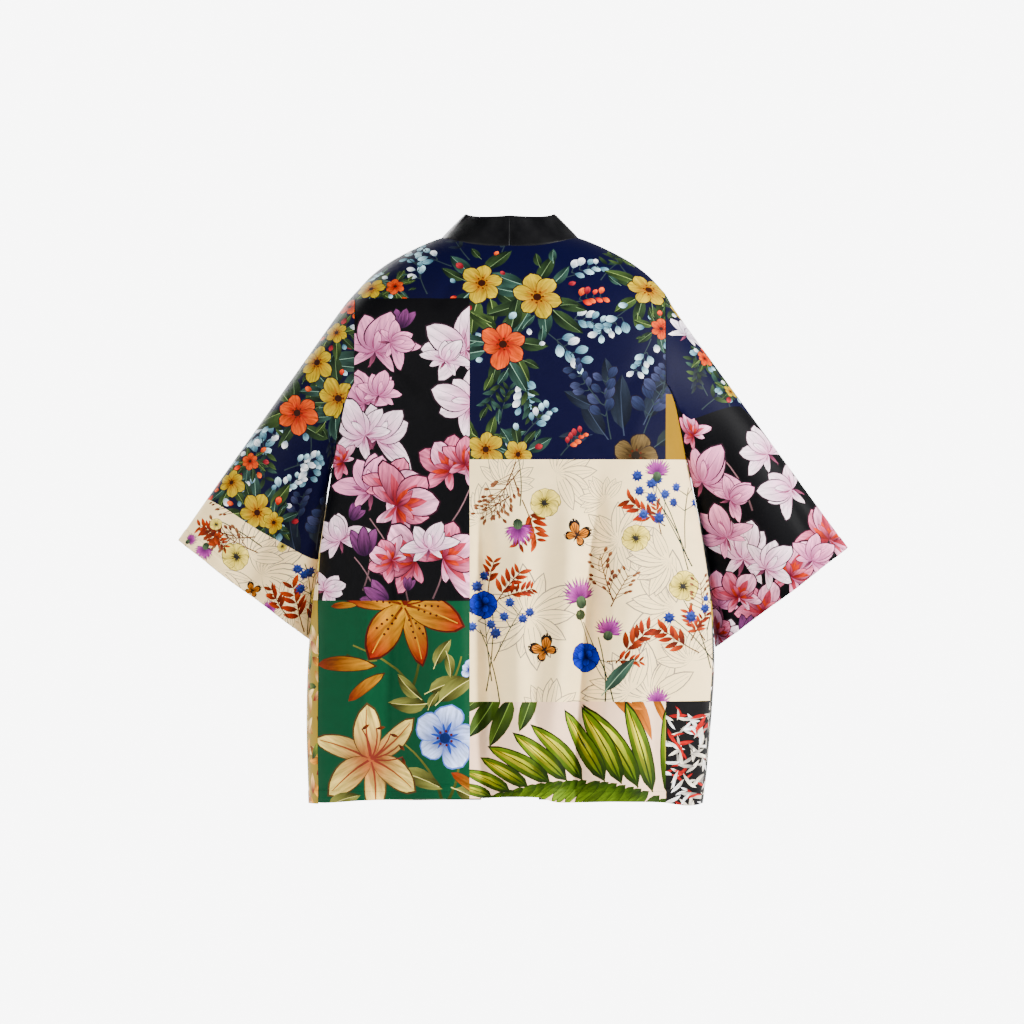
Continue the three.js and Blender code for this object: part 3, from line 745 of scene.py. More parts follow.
def wreath(pen, x, y, size, greens, leaves=8, reach=1.0):
    for k in range(leaves):
        spin = 360 / leaves * k + jitter(pen, 18)
        sx, sy = onward(x, y, size * (0.5 + jitter(pen, 0.12)), spin)
        dark, light, vein = greens[pen.random.randrange(len(greens))]
        length = size * (1.0 + jitter(pen, 0.2)) * reach
        way = spin + jitter(pen, 26)
        leaf(pen, sx, sy, length, way, dark, light, vein, 0.42 + jitter(pen, 0.08), jitter(pen, 0.2))


Lobe = namedtuple("Lobe", "off length width bend")
MAGNOLIA_PETALS = [
    Lobe(104, 0.7, 0.4, 0.3), Lobe(-112, 0.66, 0.42, -0.3), Lobe(-64, 0.98, 0.5, -0.34),
    Lobe(66, 1.06, 0.46, 0.38), Lobe(-30, 1.0, 0.56, 0.1), Lobe(34, 0.92, 0.6, -0.12),
    Lobe(2, 1.08, 0.62, 0.16),
]


def magnolia(pen, x, y, size, turn, base, tip, edge="#3a2430", heart="#b04a78"):
    """A half open blossom seen from the side, its petals long and unlike one another."""
    for off, bend in ((172, 0.4), (200, -0.2)):
        petal(pen, x, y, size * 0.46, turn + off, 0.16, "#5c1e40", "#b8688a", edge, 0.6, 1.0, bend)
    for off, length, width, bend in MAGNOLIA_PETALS:
        spin = turn + off + jitter(pen, 12)
        scale = size * length * (1 + jitter(pen, 0.14))
        lean = bend + jitter(pen, 0.14)
        petal(pen, x, y, scale, spin, width, base, tip, edge, 0.55, 1.0 + jitter(pen, 0.2), lean)
        pen.draw(blade(0.5, width * 0.3, 0.9, 0.8, 5, lean * 0.5), x, y, scale, spin, heart, base, 0.8)
        for hand in (-0.12, 0.1):
            rib = curve((hand * 0.3, 0.25), (hand + lean * 0.2, 0.5), (hand * 0.8 + lean * 0.6, 0.82), 5)
            pen.draw(strip(rib, 0.014, 0.3), x, y, scale, spin, edge, edge)
    petal(pen, x, y, size * 0.55, turn + 12, 0.36, base, tip, edge, 0.6, 1.1, -0.2)


def peony(pen, x, y, size, turn, base="#8c0a28", tip="#e6a4c0", edge="#3a1424"):
    """A washed crimson blossom: pale petals behind, a red and orange heart in front."""
    for k, (off, length, width, bend) in enumerate(MAGNOLIA_PETALS):
        spin = turn + off * 1.15 + jitter(pen, 14)
        scale = size * length * (1 + jitter(pen, 0.14))
        paints = (base, tip) if k % 3 else ("#c86a98", "#f4dce8")
        petal(pen, x, y, scale, spin, width * 1.12, *paints, edge, 1.0, 1.2, bend)
        flush = blade(0.72, width * 0.42, 0.9, 0.8, 6, bend * 0.6)
        pen.draw(flush, x, y, scale, spin, "#9c0c1c", "#d4607c", 1.0)
    for k in range(6):
        spin = turn - 60 + 24 * k + jitter(pen, 8)
        heart = blade(0.46 + jitter(pen, 0.12), 0.15, 1, 0.7, 5, 0.2)
        pen.draw(heart, x, y, size, spin, "#8e0c18", "#d8502c", 0.9)
    petal(pen, x, y, size * 0.5, turn - 20, 0.34, "#8a1030", "#d87a9c", edge, 1.0, 1.1, -0.3)
    petal(pen, x, y, size * 0.5, turn + 30, 0.3, "#8a1030", "#e8a0b8", edge, 1.0, 1.1, 0.3)


def lily(pen, x, y, size, turn, base, tip, edge, rib_ink, spots=None):
    for k, off in enumerate((30, 150, 270, 90, 210, 330)):
        spin = turn + off + jitter(pen, 8)
        scale = size * (1.0 + jitter(pen, 0.1))
        width = 0.36 if k < 3 else 0.5
        bend = 0.18 if k % 2 else -0.16
        petal(pen, x, y, scale, spin, width, base, tip, edge, 1.0, 1.0, bend)
        rib = np.column_stack([bend * np.linspace(0.05, 0.9, 5) ** 2, np.linspace(0.05, 0.9, 5)])
        pen.draw(strip(rib, 0.045, 0.3), x, y, scale, spin, rib_ink, base)
        for way in (0.26, 0.36, 0.46, 0.56) if spots else ():
            for side in (-7, 8):
                sx, sy = onward(x, y, scale * way, spin + side)
                pen.draw(disc(0.022, 5), sx, sy, scale, 0, spots, spots)
    for off in (-40, -15, 12, 38, 62):
        spine = curve((0, 0), (0.1, 0.3), (0.02, 0.58), 4)
        pen.draw(strip(spine, 0.03, 0.7), x, y, size, turn + off, rib_ink, rib_ink)
        sx, sy = onward(x, y, size * 0.56, turn + off + 2)
        pen.draw(blade(0.16, 0.06, 1, 0.7, 4), sx, sy, size, turn + off + 70, "#4a140a", "#8a3a18")


Florets = namedtuple("Florets", "count reach spread base tip")
THISTLE_ROWS = [
    Florets(17, 1.0, 98, "#4c1052", "#a83c9c"), Florets(15, 0.84, 84, "#7a2478", "#d070c4"),
    Florets(9, 0.58, 66, "#641a64", "#b850ac"),
]


def thistle(pen, x, y, size, turn):
    """A round head of fine florets over a green cup."""
    for row in THISTLE_ROWS:
        for k in range(row.count):
            off = row.spread * (2 * k / (row.count - 1) - 1) + jitter(pen, 3)
            length = (row.reach + jitter(pen, 0.07)) * (0.7 + 0.3 * math.cos(math.radians(off)))
            bend = -0.16 * math.sin(math.radians(off))
            floret = blade(length, 0.12, 0.85, 0.8, 4, bend)
            pen.draw(floret, x, y, size, turn + off, row.base, row.tip, 0.5)
    cx, cy = onward(x, y, -size * 0.16, turn)
    pen.draw(disc(0.25, 9, 1.1), cx, cy, size, turn, "#24382a", "#66805a", 0.8)


def poppy(pen, x, y, size, turn, base="#c8b848", tip="#ece49c", edge="#a89850"):
    for k in range(6):
        petal(pen, x, y, size * (1 + jitter(pen, 0.1)), turn + 60 * k, 1.1, base, tip, edge, 0.7, 1.6)
    for k in range(12):
        pen.draw(blade(0.42, 0.09, 1, 0.7, 3), x, y, size, 30 * k + jitter(pen, 12), "#2c281e", "#6c6440")
    pen.draw(disc(0.2, 8, 0.7), x, y, size, 40, "#1e1c1a", "#3a3834")


def blue_bloom(pen, x, y, size, turn):
    for k in range(5):
        petal(pen, x, y, size * (1 + jitter(pen, 0.1)), turn + 72 * k, 1.15, "#02082c", "#0f34c4",
              "#020a3c", 1.0, 1.6)
    for k in range(3):
        petal(pen, x, y, size * 0.6, turn + 120 * k + 30, 0.9, "#020a3c", "#1740d0", "#020a3c", 0.9, 1.4)


Wing = namedtuple("Wing", "off length width")
BUTTERFLY_WINGS = [Wing(40, 1.15, 0.62), Wing(112, 0.78, 0.7)]


def butterfly(pen, x, y, size, turn):
    for hand in (-1, 1):
        for off, length, width in BUTTERFLY_WINGS:
            spin = turn + hand * off
            wing = size * length
            pen.draw(blade(1.0, width, 1.35, 0.62, 8, 0.0), x, y, wing, spin, "#120a06", "#120a06")
            field = blade(0.78, width * 0.74, 1.3, 0.62, 7, 0.0)
            pen.draw(field, x, y, wing, spin, "#b87408", "#dca028", 0.4)
            for vein in (-12, 0, 12):
                line = strip([(0, 0.1), (0, 0.8)], 0.04, 0.8)
                pen.draw(line, x, y, wing, spin + vein, "#1e1008", "#1e1008")
            for dot in (-15, -5, 5, 15):
                sx, sy = onward(x, y, wing * 0.9, spin + dot)
                pen.draw(disc(0.04, 5), sx, sy, size, 0, "#f6efe0", "#f6efe0")
    bx, by = onward(x, y, -size * 0.4, turn)
    pen.draw(blade(0.9, 0.14, 1, 0.7, 5), bx, by, size, turn, "#120a06", "#2a180c")


PENCIL = "#a89f92"


def pencil_fan(pen, x, y, size, turn, blades=9, spread=150):
    """Outlined petals in faint grey, as if drawn with a pencil."""
    for k in range(blades):
        spin = turn - spread / 2 + spread * k / (blades - 1) + jitter(pen, 4)
        length = size * (1 + jitter(pen, 0.14))
        bend = jitter(pen, 0.18)
        pen.draw(blade(1, 0.36, 1.0, 0.8, 6, bend), x, y, length, spin, PENCIL, PENCIL)
        pen.draw(blade(0.965, 0.32, 1.0, 0.8, 6, bend), x, y, length, spin, CREAM, CREAM)
        for hand in (-0.05, 0.05):
            vein = curve((hand, 0.2), (hand + bend * 0.3, 0.5), (hand * 0.6 + bend * 0.7, 0.86), 4)
            pen.draw(strip(vein, 0.5 / size, 0.6), x, y, length, spin, PENCIL, PENCIL)


FERN_RIB = "#b9b23c"


def fern(pen, start, middle, end, count=14, longest=96, shortest=20, first_turn=10, sweep=84):
    """A broad fern leaf: long arched leaflets along the upper side of its rib, shorter ones below."""
    rib = curve(start, middle, end, 60)
    for k in range(count * 2):
        way = (k + 0.5) / (count * 2)
        x, y = rib[int(way * 60)]
        size = shortest + 24 * (1 - way) + jitter(pen, 3)
        spin = 226 + 20 * way + jitter(pen, 5)
        petal(pen, x, y, size, spin, 0.32, "#2a480a", "#86a41c", "#16240a", 1.0, 0.9, -0.2)
    for k in range(count):
        way = (k + 0.5) / count
        x, y = rib[int(way * 60)]
        size = shortest + (longest - shortest) * (1 - way**2.4) + jitter(pen, 5)
        spin = first_turn - sweep * way + jitter(pen, 4)
        width = 0.17 + 0.12 * way
        bend = -0.1 - 0.06 * k / count + jitter(pen, 0.1)
        petal(pen, x, y, size, spin, width, "#1a3006", "#86a41c", "#1c2c0a", 1.0, 0.8, bend)
        half = blade(0.9, width * 0.5, 0.8, 0.8, 6, bend)
        pen.draw(half, *onward(x, y, size * 0.04, spin + 4), size, spin - 1, "#4c7410", "#d4cc2c", 0.9)
        gleam = blade(0.5, 0.07, 0.8, 0.8, 5, bend)
        pen.draw(gleam, *onward(x, y, size * 0.3, spin), size, spin - 2, "#a8b41c", "#e8e468", 0.7)
        spine = np.column_stack([bend * np.linspace(0, 0.9, 5) ** 2, np.linspace(0, 0.9, 5)])
        pen.draw(strip(spine, 0.022, 0.4), x, y, size, spin, "#2c420c", "#1c2c0a")
    outline = strip(rib, 2.4, 0.5)
    pen.draw(outline * np.array([1, -1]), 0, 0, 1, 0, FERN_RIB, FERN_RIB)


# Inks for the motifs, dark to light
Inks = namedtuple("Inks", "base tip")
Leaves = namedtuple("Leaves", "dark light vein")
GREENS = [Leaves("#0e1c12", "#3c5630", "#93a97e"), Leaves("#12261f", "#456a5c", "#a9c4b4"),
          Leaves("#182a12", "#56703a", "#b9c98a")]
DIM_GREENS = [Leaves("#0e1220", "#2c3648", "#46526a"), Leaves("#101622", "#303c3c", "#4c5c5c")]
BERRY_INKS = [Inks("#b81e14", "#f07a3c"), Inks("#c8481c", "#f29c4c"), Inks("#7a1424", "#d04a54")]
PALE_INKS = [Inks("#6f94a4", "#dcebee"), Inks("#4f7c90", "#a9ccd4"), Inks("#aebfc8", "#ffffff")]
DIM_INKS = [Inks("#2a3050", "#555c86"), Inks("#1e2644", "#3c4670")]
RUST_INKS = [Inks("#7a1e08", "#c8481c"), Inks("#8e2f10", "#d4602c"), Inks("#641a0a", "#a83c1c")]
WHEAT_INKS = [Inks("#6a3a20", "#a8684a"), Inks("#7a4a2c", "#b9845c")]
STRAW_INKS = [Inks("#c89410", "#f4ecc8"), Inks("#8a3a14", "#f0d060"), Inks("#1c4a1c", "#a8b44c"),
              Inks("#a81c14", "#f0e0b0")]
BLUE_INKS = [Inks("#141e62", "#3e58b4"), Inks("#1a2870", "#5470c4")]
Bloom = namedtuple("Bloom", "base tip odd")
YELLOW = Bloom("#c09400", "#d4c400", "#b46800")
ORANGE = Bloom("#c83c08", "#e07828", "#a82406")
SKY = Bloom("#3c62c0", "#f2f6fd", "#16349c")
GREEN_LEAVES = [Inks(row.dark, row.light) for row in GREENS]
DIM_LEAVES = [Inks(row.dark, row.light) for row in DIM_GREENS]

Place = namedtuple("Place", "motif x y size turn")
Twig = namedtuple("Twig", "x y length turn inks kind")
Spray = namedtuple("Spray", "x y size turn")


def dim_leaves(pen, places):
    for place in places:
        leaf(pen, *place, *DIM_GREENS[place.x % 2], 0.4)


def surround(pen, x, y, size):
    """Loose pods, buds and small leaves round a flower."""
    for k in range(9):
        spin = 40 * k + jitter(pen, 16)
        sx, sy = onward(x, y, size * (1.25 + jitter(pen, 0.3)), spin)
        kind = pen.random.randrange(5)
        if kind < 2:
            petal(pen, sx, sy, 8 + jitter(pen, 2), spin + jitter(pen, 50), 0.74, *PALE_INKS[k % 3],
                  INK_LINE, 0.8, 1.1)
        elif kind == 2:
            petal(pen, sx, sy, 8 + jitter(pen, 2), spin, 0.7, *BERRY_INKS[k % 3], INK_LINE, 0.8, 1.1)
        else:
            leaf(pen, sx, sy, size * 0.7, spin + jitter(pen, 40), *GREENS[k % 3], 0.46)


def navy_garden(pen, places, twigs=()):
    for t in twigs:
        twig(pen, t.x, t.y, t.length, t.turn, "#36464a", t.inks, t.kind, 4, 0.3)
    for place in places:
        wreath(pen, place.x, place.y, place.size * 1.25, GREENS, 9, 1.15)
        surround(pen, place.x, place.y, place.size)
    for place in places:
        paints = YELLOW if place.motif == "yellow" else ORANGE
        open_flower(pen, place.x, place.y, place.size, place.turn, *paints)


def stem(pen, x, y, length, turn, bend, width, taper, base, tip, streak=0.0, steps=5):
    spine = curve((0, 0), (bend, 0.5), (0, 1), steps)
    pen.draw(strip(spine, width / length, taper), x, y, length, turn, base, tip, streak)


def black_garden(pen, places, stems=()):
    for spray in stems:
        stem(pen, *spray, 0.12, 1.8, 0.6, "#7c5a60", "#b08a90")
    for place in places:
        at = place[1:]
        if place.motif == "white":
            magnolia(pen, *at, "#e6c2d8", "#fbf6f8")
        elif place.motif == "pink":
            magnolia(pen, *at, "#cf8ab4", "#f2cfe2")
        elif place.motif == "purple":
            for off in (-26, 24, 0):
                spin = place.turn + off
                petal(pen, *at[:3], spin, 0.42, "#3a1040", "#a45a98", INK_LINE, 1.0, 0.9)
        else:
            peony(pen, *at)


def cream_garden(pen, places):
    kinds = {
        "fan": lambda at: pencil_fan(pen, *at),
        "round_fan": lambda at: pencil_fan(pen, *at, 15, 336),
        "rust": lambda at: twig(pen, *at, "#6a2a14", RUST_INKS, "leaf", 5, 0.2),
        "wheat": lambda at: twig(pen, *at, "#7a4a34", WHEAT_INKS, "drop", 6, 0.15, 0.15),
        "blue": lambda at: twig(pen, *at, "#2f4038", BLUE_INKS, "globe", 2, 0.1, 0.5),
        "blue_flower": lambda at: blue_bloom(pen, *at),
        "globe": lambda at: globe(pen, *at[:3], *BLUE_INKS[0]),
        "stem": lambda at: stem(pen, *at, 0.08, 1.3, 0.7, "#26332a", "#3c5244"),
        "thistle": lambda at: thistle(pen, *at),
        "poppy": lambda at: poppy(pen, *at),
        "butterfly": lambda at: butterfly(pen, *at),
        "leaf": lambda at: leaf(pen, *at, "#24382c", "#4f7460", "#a9c0a8", 0.3),
        "pod": lambda at: berry(pen, *at[:3], "#38462a", "#66764a"),
    }
    for place in places:
        kinds[place.motif](place[1:])


def green_garden(pen, places):
    kinds = {
        "orange_lily": lambda at: lily(pen, *at, "#dcb83c", "#a82818", "#5a140c", "#8a2010", "#4a0e08"),
        "cream_lily": lambda at: lily(pen, *at, "#b8683c", "#ece2a4", "#6a4a24", "#94382a", None),
        "blue_bloom": lambda at: open_flower(pen, *at, *SKY, "#14246a", 5, 0.86, "#7f9cd8"),
        "bud": lambda at: petal(pen, *at, 0.26, "#9c3408", "#c89c2c", "#4a2410", 1.0, 0.9, 0.12),
        "leaf": lambda at: leaf(pen, *at, "#3c3c10", "#a8a85c", "#e6e2ae", 0.42, 0.2),
        "stem": lambda at: stem(pen, *at, 0.18, 3.0, 0.5, "#3c4a14", "#8c8a3c", 0.5, 6),
    }
    for place in places:
        kinds[place.motif](place[1:])


def leaf_ground(pen, x0, y0, x1, y1, inks, step=17, size=20):
    for row in range(int((y1 - y0) / step)):
        for column in range(int((x1 - x0) / step)):
            base, tip = inks[pen.random.randrange(len(inks))]
            x = x0 + (column + 0.5 * (row % 2)) * step + jitter(pen, 3)
            y = y0 + row * step + jitter(pen, 3)
            outline = blade(1, 0.36, 0.9, 0.8, 6, jitter(pen, 0.2))
            pen.draw(outline, x, y, size, jitter(pen, 180), base, tip, 0.8)


BRUSH_INKS = [Inks("#f4f1ea", "#cfcac2"), Inks("#ffffff", "#e2ded6"), Inks("#a81410", "#d4241c"),
              Inks("#8f8b86", "#d8d4cc")]


def brushed_ground(pen, x0, y0, x1, y1, step=6.5):
    """Generic loose leaves in white, grey and red on black."""
    for row in range(int((y1 - y0) / step)):
        for column in range(int((x1 - x0) / step)):
            x = x0 + (column + 0.5 * (row % 2)) * step + jitter(pen, 2)
            y = y0 + row * step + jitter(pen, 2)
            paints = BRUSH_INKS[pen.random.randrange(len(BRUSH_INKS))]
            size = 15 + jitter(pen, 5)
            pen.draw(blade(1, 0.2, 1, 0.5, 4, jitter(pen, 0.4)), x, y, size, jitter(pen, 180), *paints, 0.9)


# Where the patches meet on the back, in the photograph's pixels. The outer ones run past its edges.
BACK_LEFT = 240
YOKE_LEFT = 300
SPLIT_X = 470
STRIP_X = 664.5
BACK_RIGHT = 760
BACK_TOP = 180
BLACK_TOP = 300
GOLD_TOP = 395
YOKE_FOOT = 460
BLACK_FOOT = 600
CREAM_FOOT = 700
BACK_FOOT = 860


def box(left, top, right, foot):
    return [(left, top), (right, top), (right, foot), (left, foot)]


# The patches and the main motifs, in the photograph's pixels
def print_back(pen):
    pen.begin("yoke", box(YOKE_LEFT, BACK_TOP, BACK_RIGHT, YOKE_FOOT), NAVY)
    dim_leaves(
        pen,
        [
            Spray(604, 436, 46, -38), Spray(622, 430, 54, -8), Spray(644, 420, 50, 24),
            Spray(594, 408, 34, -70), Spray(655, 446, 40, 52), Spray(612, 392, 34, -20),
            Spray(588, 436, 30, -100), Spray(650, 392, 30, 50),
        ],
    )
    navy_garden(
        pen,
        [
            Place("yellow", 372, 290, 15, 30), Place("orange", 396, 288, 11, 0),
            Place("yellow", 482, 285, 24, 12), Place("yellow", 537, 299, 26, -20),
            Place("orange", 503, 346, 25, 8), Place("yellow", 648, 291, 23, 24),
            Place("yellow", 486, 450, 20, 0), Place("yellow", 518, 455, 16, 30),
            Place("orange", 660, 330, 13, 0),
        ],
        [
            Twig(428, 296, 44, -30, PALE_INKS, "pod"), Twig(452, 268, 40, -70, PALE_INKS, "pod"),
            Twig(556, 282, 44, 56, PALE_INKS, "pod"), Twig(540, 330, 52, 118, PALE_INKS, "pod"),
            Twig(556, 320, 46, 84, PALE_INKS, "pod"), Twig(518, 366, 42, 160, PALE_INKS, "pod"),
            Twig(500, 262, 34, 0, PALE_INKS, "pod"), Twig(470, 262, 40, -40, DIM_LEAVES, "leaf"),
            Twig(566, 306, 36, 62, BERRY_INKS, "pod"), Twig(600, 282, 44, 18, GREEN_LEAVES, "leaf"),
            Twig(632, 306, 44, 214, PALE_INKS, "pod"), Twig(650, 340, 36, 190, PALE_INKS, "pod"),
            Twig(630, 280, 44, -40, GREEN_LEAVES, "leaf"), Twig(520, 376, 44, 150, GREEN_LEAVES, "leaf"),
            Twig(506, 372, 40, 196, GREEN_LEAVES, "leaf"), Twig(420, 268, 34, -50, PALE_INKS, "pod"),
            Twig(524, 436, 36, 30, PALE_INKS, "pod"), Twig(500, 424, 36, 0, GREEN_LEAVES, "leaf"),
            Twig(560, 456, 30, 30, BERRY_INKS, "pod"), Twig(480, 320, 34, 200, PALE_INKS, "pod"),
            Twig(610, 440, 60, -20, DIM_INKS, "pod"), Twig(640, 440, 64, 10, DIM_INKS, "pod"),
            Twig(600, 404, 44, -50, DIM_INKS, "pod"), Twig(660, 400, 40, 0, DIM_INKS, "pod"),
            Twig(350, 300, 36, 30, PALE_INKS, "pod"), Twig(384, 270, 30, 10, GREEN_LEAVES, "leaf"),
        ],
    )
    open_flower(pen, 634, 456, 26, 10, "#4c3414", "#8c7448", "#3c2a14", "#241a10", 5, 0.9)

    pen.begin("black", box(YOKE_LEFT, BLACK_TOP, SPLIT_X, BLACK_FOOT), BLACK)
    black_garden(
        pen,
        [
            Place("purple", 402, 330, 24, 10), Place("pink", 376, 352, 40, 8),
            Place("pink", 392, 344, 26, 84), Place("white", 466, 352, 42, -70),
            Place("white", 446, 362, 22, 20), Place("white", 472, 404, 36, -84),
            Place("pink", 366, 404, 34, -30), Place("pink", 380, 396, 24, 10),
            Place("white", 378, 440, 38, 30), Place("white", 366, 436, 34, -44),
            Place("peony", 452, 470, 34, -40), Place("peony", 466, 466, 30, 40),
            Place("peony", 344, 462, 18, -60), Place("pink", 372, 492, 40, -8),
            Place("peony", 392, 490, 32, 40), Place("peony", 398, 506, 42, 82),
            Place("white", 340, 540, 28, -20), Place("peony", 416, 560, 38, -56),
            Place("peony", 444, 558, 38, 46), Place("white", 430, 548, 26, 0),
            Place("peony", 392, 560, 22, -70), Place("purple", 366, 556, 30, -6),
            Place("purple", 388, 602, 28, -60), Place("purple", 352, 520, 18, 30),
            Place("purple", 408, 590, 14, 10), Place("white", 326, 590, 20, 60),
        ],
        [
            Spray(410, 606, 96, -24), Spray(380, 600, 50, -30), Spray(434, 598, 70, 12),
            Spray(436, 540, 60, 34), Spray(364, 590, 44, 10),
        ],
    )

    pen.begin("gold", box(STRIP_X, GOLD_TOP, BACK_RIGHT, YOKE_FOOT), GOLD)

    pen.begin("cream", box(SPLIT_X, YOKE_FOOT, BACK_RIGHT, CREAM_FOOT), CREAM)
    cream_garden(
        pen,
        [
            Place("round_fan", 528, 616, 48, 0), Place("round_fan", 618, 540, 36, 0),
            Place("fan", 672, 606, 50, -70), Place("fan", 505, 486, 30, 20),
            Place("fan", 556, 474, 40, 70), Place("fan", 482, 520, 34, -20),
            Place("fan", 650, 696, 54, -20), Place("fan", 548, 716, 36, 0),
            Place("fan", 668, 560, 40, -110), Place("fan", 606, 500, 26, -40),
            Place("fan", 690, 660, 36, -20), Place("fan", 628, 690, 44, -50),
            Place("stem", 520, 506, 48, -2), Place("wheat", 520, 470, 50, 214),
            Place("wheat", 516, 462, 56, 196), Place("wheat", 510, 496, 34, 230),
            Place("rust", 522, 500, 44, 150), Place("rust", 534, 512, 36, 196),
            Place("thistle", 518, 527, 20, 176), Place("poppy", 544, 503, 15, 0),
            Place("butterfly", 575, 536, 16, 30), Place("butterfly", 545, 650, 16, -34),
            Place("stem", 486, 690, 90, 4), Place("stem", 500, 700, 74, -16),
            Place("rust", 494, 606, 44, 26), Place("rust", 500, 598, 34, 62),
            Place("rust", 488, 594, 34, 0), Place("blue", 492, 680, 70, -12),
            Place("blue", 494, 660, 60, 22), Place("globe", 477, 586, 6, 0),
            Place("globe", 484, 576, 5, 0), Place("blue_flower", 483, 604, 14, 0),
            Place("globe", 496, 632, 6, 0), Place("stem", 612, 700, 84, -20),
            Place("stem", 604, 706, 70, -4), Place("wheat", 612, 600, 44, -22),
            Place("wheat", 610, 606, 36, 20), Place("thistle", 580, 598, 24, -14),
            Place("pod", 580, 614, 5.5, 0), Place("stem", 592, 664, 46, -14),
            Place("thistle", 608, 632, 18, 12), Place("rust", 614, 662, 48, 34),
            Place("rust", 606, 660, 32, 80), Place("blue_flower", 586, 656, 15, 20),
            Place("leaf", 604, 690, 44, 34), Place("rust", 664, 526, 46, -64),
            Place("rust", 660, 534, 30, -20), Place("stem", 692, 566, 84, -30),
            Place("stem", 688, 570, 100, -22), Place("blue", 690, 560, 84, -34),
            Place("blue", 686, 548, 60, -4), Place("globe", 636, 476, 6, 0),
            Place("globe", 650, 484, 5.5, 0), Place("globe", 650, 498, 6, 0),
            Place("globe", 658, 518, 6, 0), Place("poppy", 634, 538, 14, 0),
            Place("thistle", 656, 474, 18, 4), Place("poppy", 682, 586, 15, 10),
            Place("stem", 710, 668, 74, -22), Place("stem", 712, 660, 60, -44),
            Place("rust", 698, 652, 46, -68), Place("rust", 704, 640, 34, -40),
            Place("rust", 690, 640, 30, 20), Place("wheat", 704, 616, 34, -16),
            Place("blue", 706, 630, 40, 10), Place("globe", 668, 617, 6, 0),
            Place("globe", 690, 616, 6, 0), Place("thistle", 656, 702, 18, 0),
            Place("globe", 704, 608, 5, 0),
        ],
    )

    pen.begin("green", box(BACK_LEFT, BLACK_FOOT, SPLIT_X, BACK_FOOT), GREEN)
    green_garden(
        pen,
        [
            Place("stem", 412, 690, 90, 2), Place("stem", 428, 706, 96, -50),
            Place("stem", 348, 654, 30, 100), Place("stem", 436, 700, 52, 30),
            Place("stem", 444, 800, 70, -34), Place("stem", 448, 800, 60, 10),
            Place("leaf", 430, 690, 40, 60), Place("leaf", 428, 702, 40, -100),
            Place("leaf", 420, 696, 32, -56), Place("leaf", 436, 664, 30, 20),
            Place("leaf", 440, 700, 44, 44), Place("leaf", 402, 770, 44, 100),
            Place("leaf", 456, 786, 36, 110), Place("leaf", 448, 652, 24, 160),
            Place("bud", 318, 664, 58, 84), Place("bud", 350, 700, 44, 44),
            Place("bud", 452, 770, 40, 120), Place("orange_lily", 404, 604, 58, 8),
            Place("cream_lily", 372, 757, 54, 22), Place("blue_bloom", 446, 736, 32, 10),
            Place("bud", 332, 606, 26, 80), Place("blue_bloom", 470, 668, 9, 0),
            Place("leaf", 430, 706, 20, 20), Place("leaf", 330, 804, 34, 60),
        ],
    )

    pen.begin("blush", box(SPLIT_X, CREAM_FOOT, STRIP_X, BACK_FOOT), BLUSH)
    for place in (
        Spray(500, 690, 56, 212), Spray(512, 696, 54, 202), Spray(534, 686, 46, 196),
        Spray(490, 686, 40, 226),
    ):
        leaf(pen, *place, "#14260a", "#5c7a2a", "#9ab45c", 0.34, 0.05)
    for place in (
        Spray(606, 690, 56, 128), Spray(626, 684, 60, 150), Spray(650, 690, 40, 150),
        Spray(612, 700, 30, 100),
    ):
        pen.draw(blade(1, 0.2, 0.9, 0.8, 6, 0.1), *place, "#a86408", "#d89418", 1.0)
    fern(pen, (706, 820), (600, 742), (460, 808))

    pen.begin("brushed", box(STRIP_X, CREAM_FOOT, BACK_RIGHT, BACK_FOOT), INK_BLACK)
    brushed_ground(pen, 668, 714, 722, 812)


